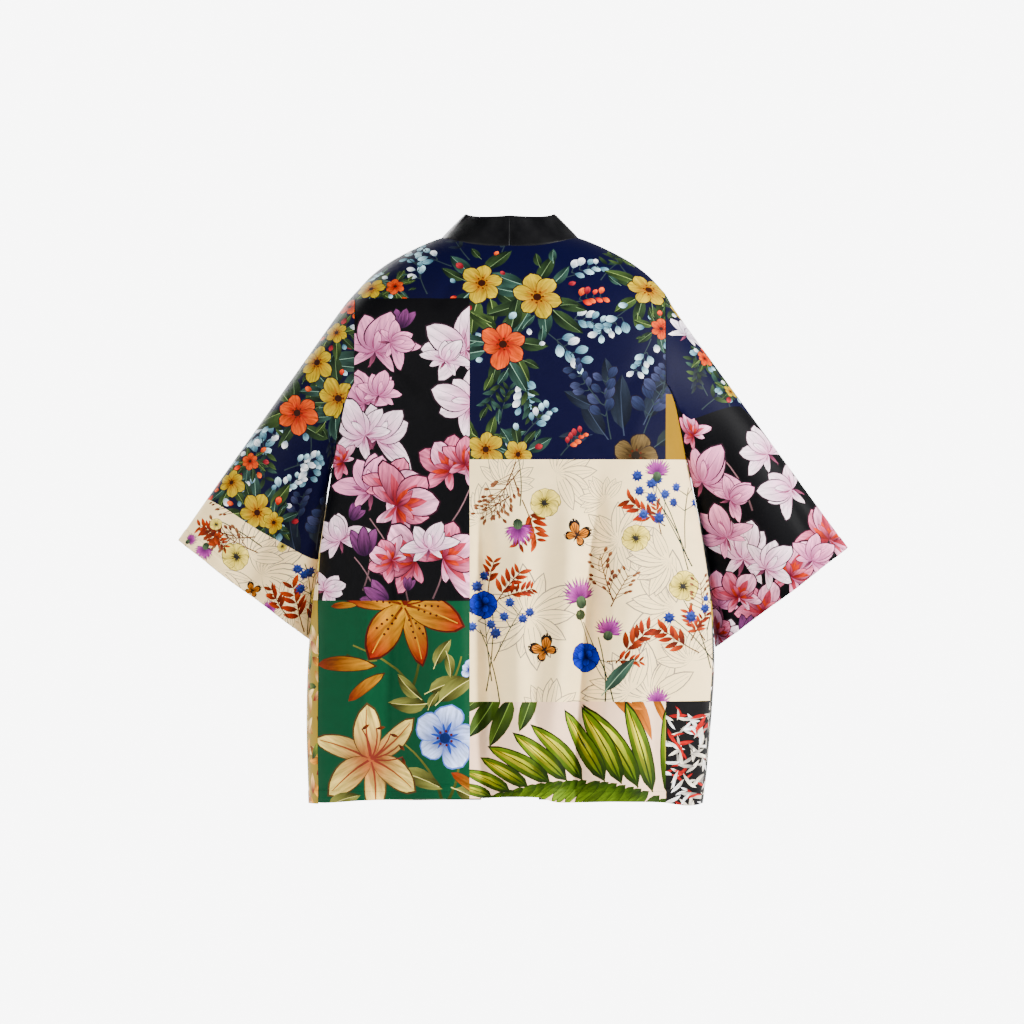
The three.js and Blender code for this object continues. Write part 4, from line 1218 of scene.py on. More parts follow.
def print_left_sleeve(pen):
    pen.begin("navy", box(60, 200, 420, 720), NAVY)
    dim_leaves(
        pen,
        [
            Spray(300, 560, 46, -20), Spray(318, 550, 50, 4), Spray(286, 546, 36, -60),
            Spray(326, 520, 40, 30),
        ],
    )
    navy_garden(
        pen,
        [
            Place("yellow", 320, 361, 23, 10), Place("orange", 298, 413, 22, -10),
            Place("yellow", 340, 399, 21, 40), Place("yellow", 231, 481, 15, 0),
            Place("yellow", 258, 512, 19, 20), Place("yellow", 345, 330, 14, 0),
            Place("orange", 362, 300, 12, 0), Place("orange", 250, 460, 10, 0),
            Place("yellow", 274, 522, 12, 0),
        ],
        [
            Twig(290, 384, 44, -60, PALE_INKS, "pod"), Twig(282, 420, 44, -120, PALE_INKS, "pod"),
            Twig(304, 340, 36, -50, GREEN_LEAVES, "leaf"), Twig(250, 470, 44, 20, PALE_INKS, "pod"),
            Twig(262, 436, 44, 160, GREEN_LEAVES, "leaf"), Twig(312, 436, 44, 170, PALE_INKS, "pod"),
            Twig(285, 470, 36, 60, PALE_INKS, "pod"), Twig(300, 540, 44, -10, DIM_INKS, "pod"),
            Twig(320, 560, 50, 0, DIM_INKS, "pod"), Twig(240, 470, 36, -30, GREEN_LEAVES, "leaf"),
            Twig(330, 430, 40, 150, DIM_LEAVES, "leaf"), Twig(288, 450, 36, -20, GREEN_LEAVES, "leaf"),
            Twig(270, 500, 36, 40, PALE_INKS, "pod"), Twig(222, 500, 30, -20, BERRY_INKS, "pod"),
        ],
    )
    pen.begin("cream", [(60, 405), (318, 566), (420, 630), (420, 760), (60, 760)], CREAM)
    cream_garden(
        pen,
        [
            Place("fan", 262, 576, 46, 60), Place("fan", 250, 556, 36, 20),
            Place("round_fan", 290, 606, 26, 0), Place("fan", 220, 570, 30, 190),
            Place("stem", 262, 546, 54, -60), Place("wheat", 256, 536, 50, -100),
            Place("wheat", 258, 552, 50, -70), Place("wheat", 240, 516, 30, -60),
            Place("rust", 228, 552, 34, -50), Place("rust", 236, 536, 40, -84),
            Place("poppy", 237, 556, 14, 0), Place("thistle", 205, 548, 14, 200),
            Place("poppy", 216, 524, 6, 0), Place("stem", 318, 650, 84, -8),
            Place("rust", 308, 636, 50, -26), Place("rust", 314, 640, 40, 10),
            Place("butterfly", 252, 592, 10, 30), Place("blue", 312, 640, 64, 0),
            Place("globe", 312, 577, 6, 0), Place("globe", 300, 572, 5, 0),
            Place("poppy", 326, 604, 12, 0), Place("thistle", 270, 612, 12, 30),
            Place("rust", 290, 620, 34, -40), Place("poppy", 284, 548, 6, 0),
            Place("thistle", 188, 540, 10, 60), Place("rust", 206, 530, 26, 120),
        ],
    )


def print_right_sleeve(pen):
    pen.begin("navy", [(600, 200), (900, 200), (900, 480), (741, 402), (640, 353), (600, 340)], NAVY)
    navy_garden(
        pen,
        [Place("yellow", 668, 292, 14, 0), Place("orange", 702, 354, 10, 0),
         Place("yellow", 731, 386, 8, 0)],
        [
            Twig(706, 396, 44, -40, GREEN_LEAVES, "leaf"), Twig(716, 400, 44, 0, GREEN_LEAVES, "leaf"),
            Twig(690, 352, 36, 160, DIM_LEAVES, "leaf"), Twig(700, 410, 44, 40, GREEN_LEAVES, "leaf"),
            Twig(684, 346, 36, 60, DIM_INKS, "pod"), Twig(730, 410, 36, -20, GREEN_LEAVES, "leaf"),
        ],
    )
    magnolia(pen, 678, 330, 24, 20, "#d8d2da", "#fdfbfc")
    pen.begin("black", [(600, 372), (690, 420), (741, 402), (900, 480), (980, 760), (560, 760)], BLACK)
    black_garden(
        pen,
        [
            Place("white", 768, 452, 32, -60), Place("white", 792, 488, 32, -90),
            Place("pink", 700, 484, 42, 4), Place("white", 742, 560, 42, 6),
            Place("pink", 724, 540, 30, -30), Place("peony", 830, 538, 36, 0),
            Place("peony", 790, 576, 34, 20), Place("pink", 716, 610, 32, -30),
            Place("white", 722, 650, 30, 40), Place("peony", 764, 612, 30, 0),
            Place("pink", 730, 500, 24, 60), Place("white", 766, 568, 30, 40),
            Place("peony", 712, 640, 26, 0), Place("purple", 744, 640, 24, 10),
            Place("peony", 690, 436, 22, -30), Place("pink", 812, 560, 26, 40),
            Place("peony", 736, 600, 26, 10),
        ],
        [Spray(704, 640, 80, 20), Spray(752, 510, 60, -30), Spray(800, 610, 60, 10)],
    )


def print_front_left(pen):
    pen.begin("navy", box(200, 150, 470, 430), NAVY)
    navy_garden(
        pen,
        [
            Place("yellow", 420, 300, 24, 10), Place("orange", 392, 346, 22, 0),
            Place("yellow", 372, 292, 18, 30), Place("yellow", 428, 396, 20, 20),
            Place("orange", 356, 404, 18, 0), Place("yellow", 400, 250, 16, 0),
            Place("yellow", 340, 340, 15, 0),
        ],
        [
            Twig(400, 320, 44, 40, PALE_INKS, "pod"), Twig(380, 380, 44, 160, PALE_INKS, "pod"),
            Twig(350, 310, 36, -40, BERRY_INKS, "pod"), Twig(420, 350, 40, 100, GREEN_LEAVES, "leaf"),
            Twig(372, 250, 40, 20, PALE_INKS, "pod"), Twig(340, 372, 40, -80, PALE_INKS, "pod"),
            Twig(396, 400, 40, 10, GREEN_LEAVES, "leaf"), Twig(430, 250, 40, -20, GREEN_LEAVES, "leaf"),
        ],
    )
    pen.begin("cream", box(200, 430, 470, 640), CREAM)
    cream_garden(
        pen,
        [
            Place("round_fan", 400, 560, 44, 0), Place("fan", 350, 500, 40, 20),
            Place("fan", 310, 600, 40, -20), Place("fan", 440, 520, 40, -60),
            Place("rust", 420, 520, 44, 20), Place("thistle", 424, 476, 22, 0),
            Place("stem", 426, 560, 80, -2), Place("blue", 424, 560, 76, -14),
            Place("poppy", 392, 486, 14, 0), Place("butterfly", 360, 548, 16, 30),
            Place("rust", 380, 630, 50, -20), Place("blue_flower", 384, 586, 15, 0),
            Place("thistle", 352, 604, 20, 20), Place("stem", 360, 660, 60, -6),
            Place("blue", 362, 650, 64, 10), Place("poppy", 322, 560, 14, 0),
            Place("globe", 336, 520, 6, 0), Place("rust", 330, 500, 40, -40),
            Place("rust", 300, 560, 44, 10), Place("thistle", 304, 500, 18, -20),
            Place("globe", 430, 600, 6, 0), Place("poppy", 432, 620, 12, 0),
            Place("butterfly", 290, 610, 14, -20), Place("blue", 296, 560, 64, 8),
            Place("rust", 260, 600, 44, 20), Place("poppy", 262, 560, 13, 0),
            Place("globe", 272, 500, 6, 0),
        ],
    )
    pen.begin("leafy", box(150, 600, 330, 860), STRAW)
    leaf_ground(
        pen, 150, 596, 330, 830,
        STRAW_INKS,
        15, 22,
    )
    pen.begin("green", box(330, 640, 470, 860), GREEN)
    green_garden(
        pen,
        [
            Place("stem", 440, 800, 130, -10), Place("leaf", 430, 720, 36, -60),
            Place("leaf", 436, 760, 40, 60), Place("orange_lily", 400, 690, 44, 20),
            Place("cream_lily", 396, 770, 44, 0), Place("bud", 440, 660, 40, -20),
            Place("blue_bloom", 350, 730, 24, 10), Place("leaf", 350, 790, 36, 30),
            Place("bud", 352, 680, 36, 70),
        ],
    )


def print_front_right(pen):
    pen.begin("black", box(545, 150, 860, 470), BLACK)
    black_garden(
        pen,
        [
            Place("pink", 600, 300, 38, 10), Place("white", 640, 340, 36, -30),
            Place("peony", 596, 380, 34, 0), Place("white", 610, 250, 30, 30),
            Place("pink", 656, 280, 30, 60), Place("peony", 650, 420, 34, 20),
            Place("white", 600, 450, 32, 0), Place("purple", 690, 380, 30, 20),
            Place("pink", 690, 440, 28, -30), Place("white", 580, 320, 18, -70),
            Place("pink", 700, 320, 26, 0),
        ],
        [Spray(620, 420, 80, 10), Spray(680, 460, 80, -20)],
    )
    pen.begin("navy", box(545, 470, 860, 650), NAVY)
    navy_garden(
        pen,
        [
            Place("yellow", 600, 520, 24, 10), Place("orange", 640, 566, 22, 0),
            Place("yellow", 690, 520, 20, 30), Place("yellow", 596, 606, 20, 20),
            Place("orange", 720, 590, 18, 0), Place("yellow", 670, 626, 16, 0),
            Place("orange", 760, 530, 18, 0), Place("yellow", 764, 610, 18, 0),
        ],
        [
            Twig(620, 540, 44, 40, PALE_INKS, "pod"), Twig(660, 540, 44, -30, PALE_INKS, "pod"),
            Twig(620, 600, 40, 140, BERRY_INKS, "pod"), Twig(700, 560, 44, 90, PALE_INKS, "pod"),
            Twig(740, 560, 40, 20, BERRY_INKS, "pod"), Twig(650, 500, 40, 0, GREEN_LEAVES, "leaf"),
        ],
    )
    pen.begin("blush", box(545, 650, 700, 860), BLUSH)
    leaf(pen, 600, 700, 44, -20, "#14260a", "#5c7a2a", "#9ab45c", 0.34)
    fern(pen, (716, 840), (630, 770), (540, 800), 10, 80)
    pen.begin("brushed", box(700, 650, 860, 860), INK_BLACK)
    brushed_ground(pen, 700, 662, 800, 812, 12)


# Cutting, painting and forming one piece of cloth. Each shape's streaks start STROKE_STEP further on.
# A corner leaves a line where it is within STRAIGHT_WITHIN of straight, up to LONGEST_EDGE.
STROKE_STEP = 0.37
GRID_STEP = 6.5
STRAIGHT_WITHIN = 0.02
LONGEST_EDGE = 6.0
# Rows of points along a hem or cuff and along the side edges, close where the form turns fast
HEM_ROWS = (1.2, 15.5, 17, 18, 19, 20.5)
CUFF_SHARES = (0.9975, 0.962, 0.9585, 0.956, 0.9535, 0.95)
SIDE_INSETS = (2.0, 4.2, 7.0, 10.5)
SLEEVE_INSETS = (1.5, 4.0)


def edge_points(line, step=4.0):
    line = np.asarray(line, float)
    gaps = np.hypot(*np.diff(line, axis=0).T)
    way = np.concatenate([[0], np.cumsum(gaps)])
    count = max(2, int(round(way[-1] / step)) + 1)
    at = np.linspace(0, way[-1], count)
    return np.column_stack([np.interp(at, way, line[:, 0]), np.interp(at, way, line[:, 1])])


def counterclockwise(polygon):
    x, y = polygon[:, 0], polygon[:, 1]
    area = np.sum(x * np.roll(y, -1) - np.roll(x, -1) * y)
    return polygon if area > 0 else polygon[::-1]


def cut_shapes(outline, pen):
    """Triangles of the flat piece with the patch or shape that is on top in each."""
    points = []
    faces = []
    patches = [patch[0] for patch in pen.patches]
    shapes = [shape["points"] for shape in pen.shapes]
    for polygon in [outline] + patches + shapes:
        first = len(points)
        points.extend(Vector(p) for p in counterclockwise(polygon))
        faces.append(list(range(first, len(points))))
    spots, _, triangles, _, _, origins = delaunay_2d_cdt(points, [], faces, 0, 1e-3, True)
    patch_count = len(pen.patches)
    patch_of = [0] * (patch_count + 1) + [shape["patch"] for shape in pen.shapes]
    owned = []
    for triangle, within in zip(triangles, origins):
        if 0 in within:
            patch = max((i for i in within if 1 <= i <= patch_count), default=1)
            top = max((i for i in within if i > patch_count and patch_of[i] == patch), default=-patch)
            owned.append((triangle, top))
    return spots, owned


def edges_of(triangle):
    a, b, c = triangle
    return (a, b), (b, c), (c, a)


def seen_edges(owned):
    """Directed edges where the owner changes, each with the owner on its left."""
    owner_at = {edge: owner for triangle, owner in owned for edge in edges_of(triangle)}
    return {(a, b): owner for (a, b), owner in owner_at.items() if owner_at.get((b, a)) != owner}


def straightened(spots, seen):
    """Drops the corners that a hidden outline has left on a straight stretch between two shapes."""
    ends = {}
    for a, b in seen:
        ends.setdefault(a, set()).add(b)
    for middle in sorted(ends):
        nearby = sorted(ends[middle])
        if len(nearby) != 2:
            continue
        a, b = nearby
        if (a, middle) not in seen or (b, middle) not in seen or (a, b) in seen or (b, a) in seen:
            continue
        run = spots[b] - spots[a]
        off = abs(run.cross(spots[middle] - spots[a])) / max(run.length, 1e-9)
        if off > STRAIGHT_WITHIN or run.length > LONGEST_EDGE:
            continue
        seen[a, b] = seen.pop((a, middle))
        seen[b, a] = seen.pop((b, middle))
        del seen[middle, a], seen[middle, b]
        for end, other in ((a, b), (b, a)):
            ends[end].discard(middle)
            ends[end].add(other)
    return seen


def fill_between(triangles, walls, owners):
    """Gives each triangle the owner of its neighbours that no wall parts from it."""
    triangle_at = {edge: index for index, triangle in enumerate(triangles) for edge in edges_of(triangle)}
    waiting = [index for index, owner in enumerate(owners) if owner]
    while waiting:
        index = waiting.pop()
        for a, b in edges_of(triangles[index]):
            beside = triangle_at.get((b, a))
            if beside is not None and not owners[beside] and (min(a, b), max(a, b)) not in walls:
                owners[beside] = owners[index]
                waiting.append(beside)


def cut_and_paint(outline, pen, extra=()):
    """Triangles of the flat piece, each inside one shape of the print, with only what shows cut."""
    spots, owned = cut_shapes(outline, pen)
    seen = straightened(spots, seen_edges(owned))
    used = sorted({i for edge in seen for i in edge})
    number = {old: new for new, old in enumerate(used)}
    seen = {(number[a], number[b]): owner for (a, b), owner in seen.items()}
    points = [spots[i] for i in used]
    low, high = outline.min(axis=0), outline.max(axis=0)
    for row, y in enumerate(np.arange(low[1], high[1], GRID_STEP)):
        for x in np.arange(low[0] + GRID_STEP / 2 * (row % 2), high[0], GRID_STEP):
            points.append(Vector((x, y)))
    points.extend(Vector(p) for p in extra)
    edges = sorted({(min(edge), max(edge)) for edge in seen})
    spots, lines, triangles, sources, line_sources, _ = delaunay_2d_cdt(points, edges, [], 0, 1e-4, True)
    walls = {(min(line), max(line)) for line, source in zip(lines, line_sources) if source}
    names = [min(source, default=-1) for source in sources]
    owners = [
        next((seen[names[a], names[b]] for a, b in edges_of(triangle) if (names[a], names[b]) in seen), 0)
        for triangle in triangles
    ]
    fill_between(triangles, walls, owners)
    kept = [triangle for triangle, owner in zip(triangles, owners) if owner]
    used = sorted({i for triangle in kept for i in triangle})
    number = {old: new for new, old in enumerate(used)}
    flat = np.array([tuple(spots[i]) for i in used])
    kept = np.array([[number[i] for i in triangle] for triangle in kept])
    return flat, kept, np.array([owner for owner in owners if owner])


def corner_paint(flat, triangles, owners, pen):
    """The ink and the stroke coordinates at each corner of each triangle."""
    corners = flat[triangles.reshape(-1)]
    owner = np.repeat(owners, 3)
    inks = np.zeros((len(corners), 4))
    strokes = np.zeros((len(corners), 3))
    grounds = np.array([ground for _, ground in pen.patches])
    bare = owner < 0
    inks[bare, :3] = grounds[-owner[bare] - 1]
    drawn = ~bare
    number = owner[drawn] - 1 - len(pen.patches)
    names = ("base", "tip", "start", "heading", "length", "streak")
    base, tip, start, heading, length, streak = (
        np.array([shape[name] for shape in pen.shapes])[number] for name in names
    )
    off = corners[drawn] - start
    along_it = np.sum(off * heading, axis=1) / length
    across_it = (off[:, 0] * heading[:, 1] - off[:, 1] * heading[:, 0]) / length
    mix = smooth(along_it)[:, None]
    inks[drawn, :3] = base * (1 - mix) + tip * mix
    inks[drawn, 3] = streak
    strokes[drawn] = np.column_stack([across_it, along_it, STROKE_STEP * number])
    return inks, strokes


def from_hem(flat, first, last):
    """How far each flat point is from the straight hem or cuff through two points."""
    run = np.subtract(last, first) / np.linalg.norm(np.subtract(last, first))
    off = flat - np.asarray(first)
    return np.abs(off[:, 0] * run[1] - off[:, 1] * run[0])


def boundary_loops(triangles):
    """Directed edges that only one triangle has."""
    edges = dict.fromkeys(edge for triangle in triangles.tolist() for edge in edges_of(triangle))
    return [(a, b) for a, b in edges if (b, a) not in edges]


INSIDE_WASH = 0.42
INSIDE_TINT = ink("#d9d4cf")


def cloth_mesh(name, parts, thickness):
    """One closed shell from painted flat parts, each with its hem line and its lift to the form."""
    points, normals, faces, inks, strokes, grains = [], [], [], [], [], []
    first = 0
    for flat, triangles, part_inks, part_strokes, hem, place, outward in parts:
        mid = place(flat)
        normal = normals_of(place, flat)
        facing = np.sign(np.sum(normal * outward(mid), axis=1))[:, None]
        facing[facing == 0] = 1
        normal = normal * facing
        count = len(flat)
        a, b, c = (mid[triangles[:, k]] for k in range(3))
        flip = np.sum(np.cross(b - a, c - a) * normal[triangles[:, 0]], axis=1) < 0
        turned = triangles.copy()
        turned[flip] = turned[flip][:, ::-1]
        order = np.tile([0, 1, 2], (len(triangles), 1))
        order[flip] = [2, 1, 0]
        picks = (np.arange(len(triangles))[:, None] * 3 + order).reshape(-1)
        outer_ink, outer_stroke = part_inks[picks], part_strokes[picks]
        grain = np.column_stack([flat, from_hem(flat, *hem)])
        points += [mid + normal * thickness / 2, mid - normal * thickness / 2]
        normals += [normal, -normal]
        faces.append(turned + first)
        inks.append(outer_ink)
        strokes.append(outer_stroke)
        grains.append(grain[turned.reshape(-1)])
        back = turned[:, ::-1] + first + count
        washed = outer_ink.reshape(-1, 3, 4)[:, ::-1].reshape(-1, 4).copy()
        washed[:, :3] = washed[:, :3] * (1 - INSIDE_WASH) + INSIDE_TINT * INSIDE_WASH
        faces.append(back)
        inks.append(washed)
        strokes.append(outer_stroke.reshape(-1, 3, 3)[:, ::-1].reshape(-1, 3))
        grains.append(grain[turned[:, ::-1].reshape(-1)])
        rim = np.array([[p, p + count, q + count, q] for p, q in boundary_loops(turned)])
        rim_tris = np.vstack([rim[:, [0, 1, 2]], rim[:, [0, 2, 3]]]) + first
        lookup = np.zeros((2 * count, 4))
        lookup[turned.reshape(-1)] = outer_ink
        lookup[turned.reshape(-1) + count] = outer_ink
        faces.append(rim_tris)
        inks.append(lookup[(rim_tris - first).reshape(-1)])
        strokes.append(np.zeros((rim_tris.size, 3)))
        grains.append(np.vstack([grain, grain])[(rim_tris - first).reshape(-1)])
        first += 2 * count
    return build_mesh(name, np.vstack(points), np.vstack(faces), np.vstack(inks), np.vstack(strokes),
                      np.vstack(grains), np.vstack(normals))


def build_mesh(name, points, faces, inks, strokes, grains, normals):
    mesh = bpy.data.meshes.new(name)
    mesh.vertices.add(len(points))
    mesh.vertices.foreach_set("co", (points * MM).astype(np.float32).reshape(-1))
    mesh.loops.add(faces.size)
    mesh.loops.foreach_set("vertex_index", faces.astype(np.int32).reshape(-1))
    mesh.polygons.add(len(faces))
    mesh.polygons.foreach_set("loop_start", np.arange(0, faces.size, 3, dtype=np.int32))
    mesh.polygons.foreach_set("loop_total", np.full(len(faces), 3, dtype=np.int32))
    mesh.update(calc_edges=True)
    mesh.polygons.foreach_set("use_smooth", np.ones(len(faces), dtype=bool))
    ink_layer = mesh.attributes.new("ink", "FLOAT_COLOR", "CORNER")
    ink_layer.data.foreach_set("color", inks.astype(np.float32).reshape(-1))
    stroke_layer = mesh.attributes.new("stroke", "FLOAT_VECTOR", "CORNER")
    stroke_layer.data.foreach_set("vector", strokes.astype(np.float32).reshape(-1))
    grain_layer = mesh.attributes.new("grain", "FLOAT_VECTOR", "CORNER")
    grain_layer.data.foreach_set("vector", grains.astype(np.float32).reshape(-1))
    if normals is not None:
        mesh.normals_split_custom_set_from_vertices(normals.astype(np.float32))
    mesh.validate()
    piece = bpy.data.objects.new(name, mesh)
    bpy.context.collection.objects.link(piece)
    return piece


# Materials
def add_node(tree, kind, **values):
    node = tree.nodes.new(kind)
    for name, value in values.items():
        if name in node.inputs:
            node.inputs[name].default_value = value
        else:
            setattr(node, name, value)
    return node


def new_material(name, roughness, sheen, sheen_roughness):
    material = bpy.data.materials.new(name)
    material.use_nodes = True
    tree = material.node_tree
    surface = tree.nodes["Principled BSDF"]
    surface.inputs["Roughness"].default_value = roughness
    surface.inputs["Sheen Weight"].default_value = sheen
    surface.inputs["Sheen Roughness"].default_value = sheen_roughness
    surface.inputs["Specular IOR Level"].default_value = 0.05
    return material, tree, surface


def weave_height(tree, coordinates, pitch):
    """Warp and weft: two sine waves across the cloth's own coordinates in millimetres."""
    split = add_node(tree, "ShaderNodeSeparateXYZ")
    tree.links.new(coordinates, split.inputs[0])
    waves = []
    for axis in (0, 1):
        scaled = add_node(tree, "ShaderNodeMath", operation="MULTIPLY")
        tree.links.new(split.outputs[axis], scaled.inputs[0])
        scaled.inputs[1].default_value = 2 * math.pi / pitch
        wave = add_node(tree, "ShaderNodeMath", operation="SINE")
        tree.links.new(scaled.outputs[0], wave.inputs[0])
        waves.append(wave)
    product = add_node(tree, "ShaderNodeMath", operation="MULTIPLY")
    tree.links.new(waves[0].outputs[0], product.inputs[0])
    tree.links.new(waves[1].outputs[0], product.inputs[1])
    return product.outputs[0]


def stitch_line(tree, coordinates):
    """1 on each stitch of the row that holds the turned hem, 0 elsewhere."""
    split = add_node(tree, "ShaderNodeSeparateXYZ")
    tree.links.new(coordinates, split.inputs[0])
    off = add_node(tree, "ShaderNodeMath", operation="SUBTRACT")
    tree.links.new(split.outputs[2], off.inputs[0])
    off.inputs[1].default_value = HEM_DEPTH
    distance = add_node(tree, "ShaderNodeMath", operation="ABSOLUTE")
    tree.links.new(off.outputs[0], distance.inputs[0])
    near = add_node(tree, "ShaderNodeMath", operation="LESS_THAN")
    tree.links.new(distance.outputs[0], near.inputs[0])
    near.inputs[1].default_value = STITCH_WIDTH / 2
    turns = add_node(tree, "ShaderNodeMath", operation="MULTIPLY")
    tree.links.new(split.outputs[0], turns.inputs[0])
    turns.inputs[1].default_value = 2 * math.pi / STITCH_PITCH
    wave = add_node(tree, "ShaderNodeMath", operation="SINE")
    tree.links.new(turns.outputs[0], wave.inputs[0])
    on = add_node(tree, "ShaderNodeMath", operation="GREATER_THAN")
    tree.links.new(wave.outputs[0], on.inputs[0])
    on.inputs[1].default_value = STITCH_GAP
    stitch = add_node(tree, "ShaderNodeMath", operation="MULTIPLY")
    tree.links.new(near.outputs[0], stitch.inputs[0])
    tree.links.new(on.outputs[0], stitch.inputs[1])
    return stitch.outputs[0]


def printed_cloth():
    material, tree, surface = new_material("printed_cloth", 0.55, 0.012, 0.4)
    inked = add_node(tree, "ShaderNodeAttribute", attribute_name="ink")
    stroke = add_node(tree, "ShaderNodeAttribute", attribute_name="stroke")
    grain = add_node(tree, "ShaderNodeAttribute", attribute_name="grain")
    stretch = add_node(tree, "ShaderNodeVectorMath", operation="MULTIPLY")
    stretch.inputs[1].default_value = (11.0, 1.6, 3.0)
    tree.links.new(stroke.outputs["Vector"], stretch.inputs[0])
    streaks = add_node(tree, "ShaderNodeTexNoise", Scale=1.0, Detail=3.0, Roughness=0.6)
    tree.links.new(stretch.outputs[0], streaks.inputs["Vector"])
    spread = add_node(tree, "ShaderNodeMapRange")
    spread.inputs["From Min"].default_value = 0.3
    spread.inputs["From Max"].default_value = 0.7
    spread.inputs["To Min"].default_value = -0.6
    spread.inputs["To Max"].default_value = 0.45
    tree.links.new(streaks.outputs["Fac"], spread.inputs["Value"])
    strength = add_node(tree, "ShaderNodeMath", operation="MULTIPLY_ADD")
    tree.links.new(spread.outputs[0], strength.inputs[0])
    tree.links.new(inked.outputs["Alpha"], strength.inputs[1])
    strength.inputs[2].default_value = 1.0
    wash = add_node(tree, "ShaderNodeTexNoise", Scale=0.045, Detail=4.0, Roughness=0.55)
    tree.links.new(grain.outputs["Vector"], wash.inputs["Vector"])
    wash_range = add_node(tree, "ShaderNodeMapRange")
    wash_range.inputs["To Min"].default_value = 0.9
    wash_range.inputs["To Max"].default_value = 1.08
    tree.links.new(wash.outputs["Fac"], wash_range.inputs["Value"])
    weave = weave_height(tree, grain.outputs["Vector"], 0.7)
    # Painted shade and highlight on the weave: the colour is up to 3.5 % lighter on its crests and darker
    # in its dips, the same height as its bump
    weave_shade_tone = add_node(tree, "ShaderNodeMath", operation="MULTIPLY_ADD")
    tree.links.new(weave, weave_shade_tone.inputs[0])
    weave_shade_tone.inputs[1].default_value = 0.035
    weave_shade_tone.inputs[2].default_value = 1.0
    total = add_node(tree, "ShaderNodeMath", operation="MULTIPLY")
    tree.links.new(strength.outputs[0], total.inputs[0])
    tree.links.new(wash_range.outputs[0], total.inputs[1])
    all_tones = add_node(tree, "ShaderNodeMath", operation="MULTIPLY")
    tree.links.new(total.outputs[0], all_tones.inputs[0])
    tree.links.new(weave_shade_tone.outputs[0], all_tones.inputs[1])
    stitches = stitch_line(tree, grain.outputs["Vector"])
    thread_tone = add_node(tree, "ShaderNodeMath", operation="MULTIPLY_ADD")
    tree.links.new(stitches, thread_tone.inputs[0])
    thread_tone.inputs[1].default_value = -0.45
    thread_tone.inputs[2].default_value = 1.0
    sewn_tones = add_node(tree, "ShaderNodeMath", operation="MULTIPLY")
    tree.links.new(all_tones.outputs[0], sewn_tones.inputs[0])
    tree.links.new(thread_tone.outputs[0], sewn_tones.inputs[1])
    toned = add_node(tree, "ShaderNodeVectorMath", operation="SCALE")
    tree.links.new(inked.outputs["Color"], toned.inputs[0])
    tree.links.new(sewn_tones.outputs[0], toned.inputs["Scale"])
    tree.links.new(toned.outputs[0], surface.inputs["Base Color"])
    slubs = add_node(tree, "ShaderNodeTexNoise", Scale=0.35, Detail=3.0)
    tree.links.new(grain.outputs["Vector"], slubs.inputs["Vector"])
    height = add_node(tree, "ShaderNodeMath", operation="MULTIPLY_ADD")
    tree.links.new(slubs.outputs["Fac"], height.inputs[0])
    height.inputs[1].default_value = 1.5
    tree.links.new(weave, height.inputs[2])
    sewn_height = add_node(tree, "ShaderNodeMath", operation="MULTIPLY_ADD")
    tree.links.new(stitches, sewn_height.inputs[0])
    sewn_height.inputs[1].default_value = 3.0
    tree.links.new(height.outputs[0], sewn_height.inputs[2])
    bump = add_node(tree, "ShaderNodeBump", Strength=0.12, Distance=0.0002)
    tree.links.new(sewn_height.outputs[0], bump.inputs["Height"])
    tree.links.new(bump.outputs[0], surface.inputs["Normal"])
    return material


def band_satin():
    material, tree, surface = new_material("band_satin", 0.42, 0.02, 0.35)
    surface.inputs["Specular IOR Level"].default_value = 0.07
    grain = add_node(tree, "ShaderNodeAttribute", attribute_name="grain")
    # Painted shade: random paler and darker patches in the black base colour stand in for the satin's
    # uneven shading
    satin_shade_blotch = add_node(tree, "ShaderNodeTexNoise", Scale=0.03, Detail=3.0, Roughness=0.5)
    tree.links.new(grain.outputs["Vector"], satin_shade_blotch.inputs["Vector"])
    ramp = add_node(tree, "ShaderNodeValToRGB")
    ramp.color_ramp.elements[0].position = 0.36
    ramp.color_ramp.elements[0].color = (0.0012, 0.0012, 0.0016, 1)
    ramp.color_ramp.elements[1].position = 0.68
    ramp.color_ramp.elements[1].color = (0.006, 0.006, 0.0065, 1)
    tree.links.new(satin_shade_blotch.outputs["Fac"], ramp.inputs[0])
    tree.links.new(ramp.outputs[0], surface.inputs["Base Color"])
    weave = weave_height(tree, grain.outputs["Vector"], 0.5)
    bump = add_node(tree, "ShaderNodeBump", Strength=0.15, Distance=0.0002)
    tree.links.new(weave, bump.inputs["Height"])
    tree.links.new(bump.outputs[0], surface.inputs["Normal"])
    return material


# The pieces
def finish_piece(piece, node, material):
    piece.data.materials.append(material)
    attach(piece, "root")
    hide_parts(node)


def away_from_middle(points):
    middle = np.zeros_like(points)
    middle[:, 0] = points[:, 0] * 0.55
    middle[:, 2] = np.minimum(points[:, 2] - 40, -140)
    return points - middle


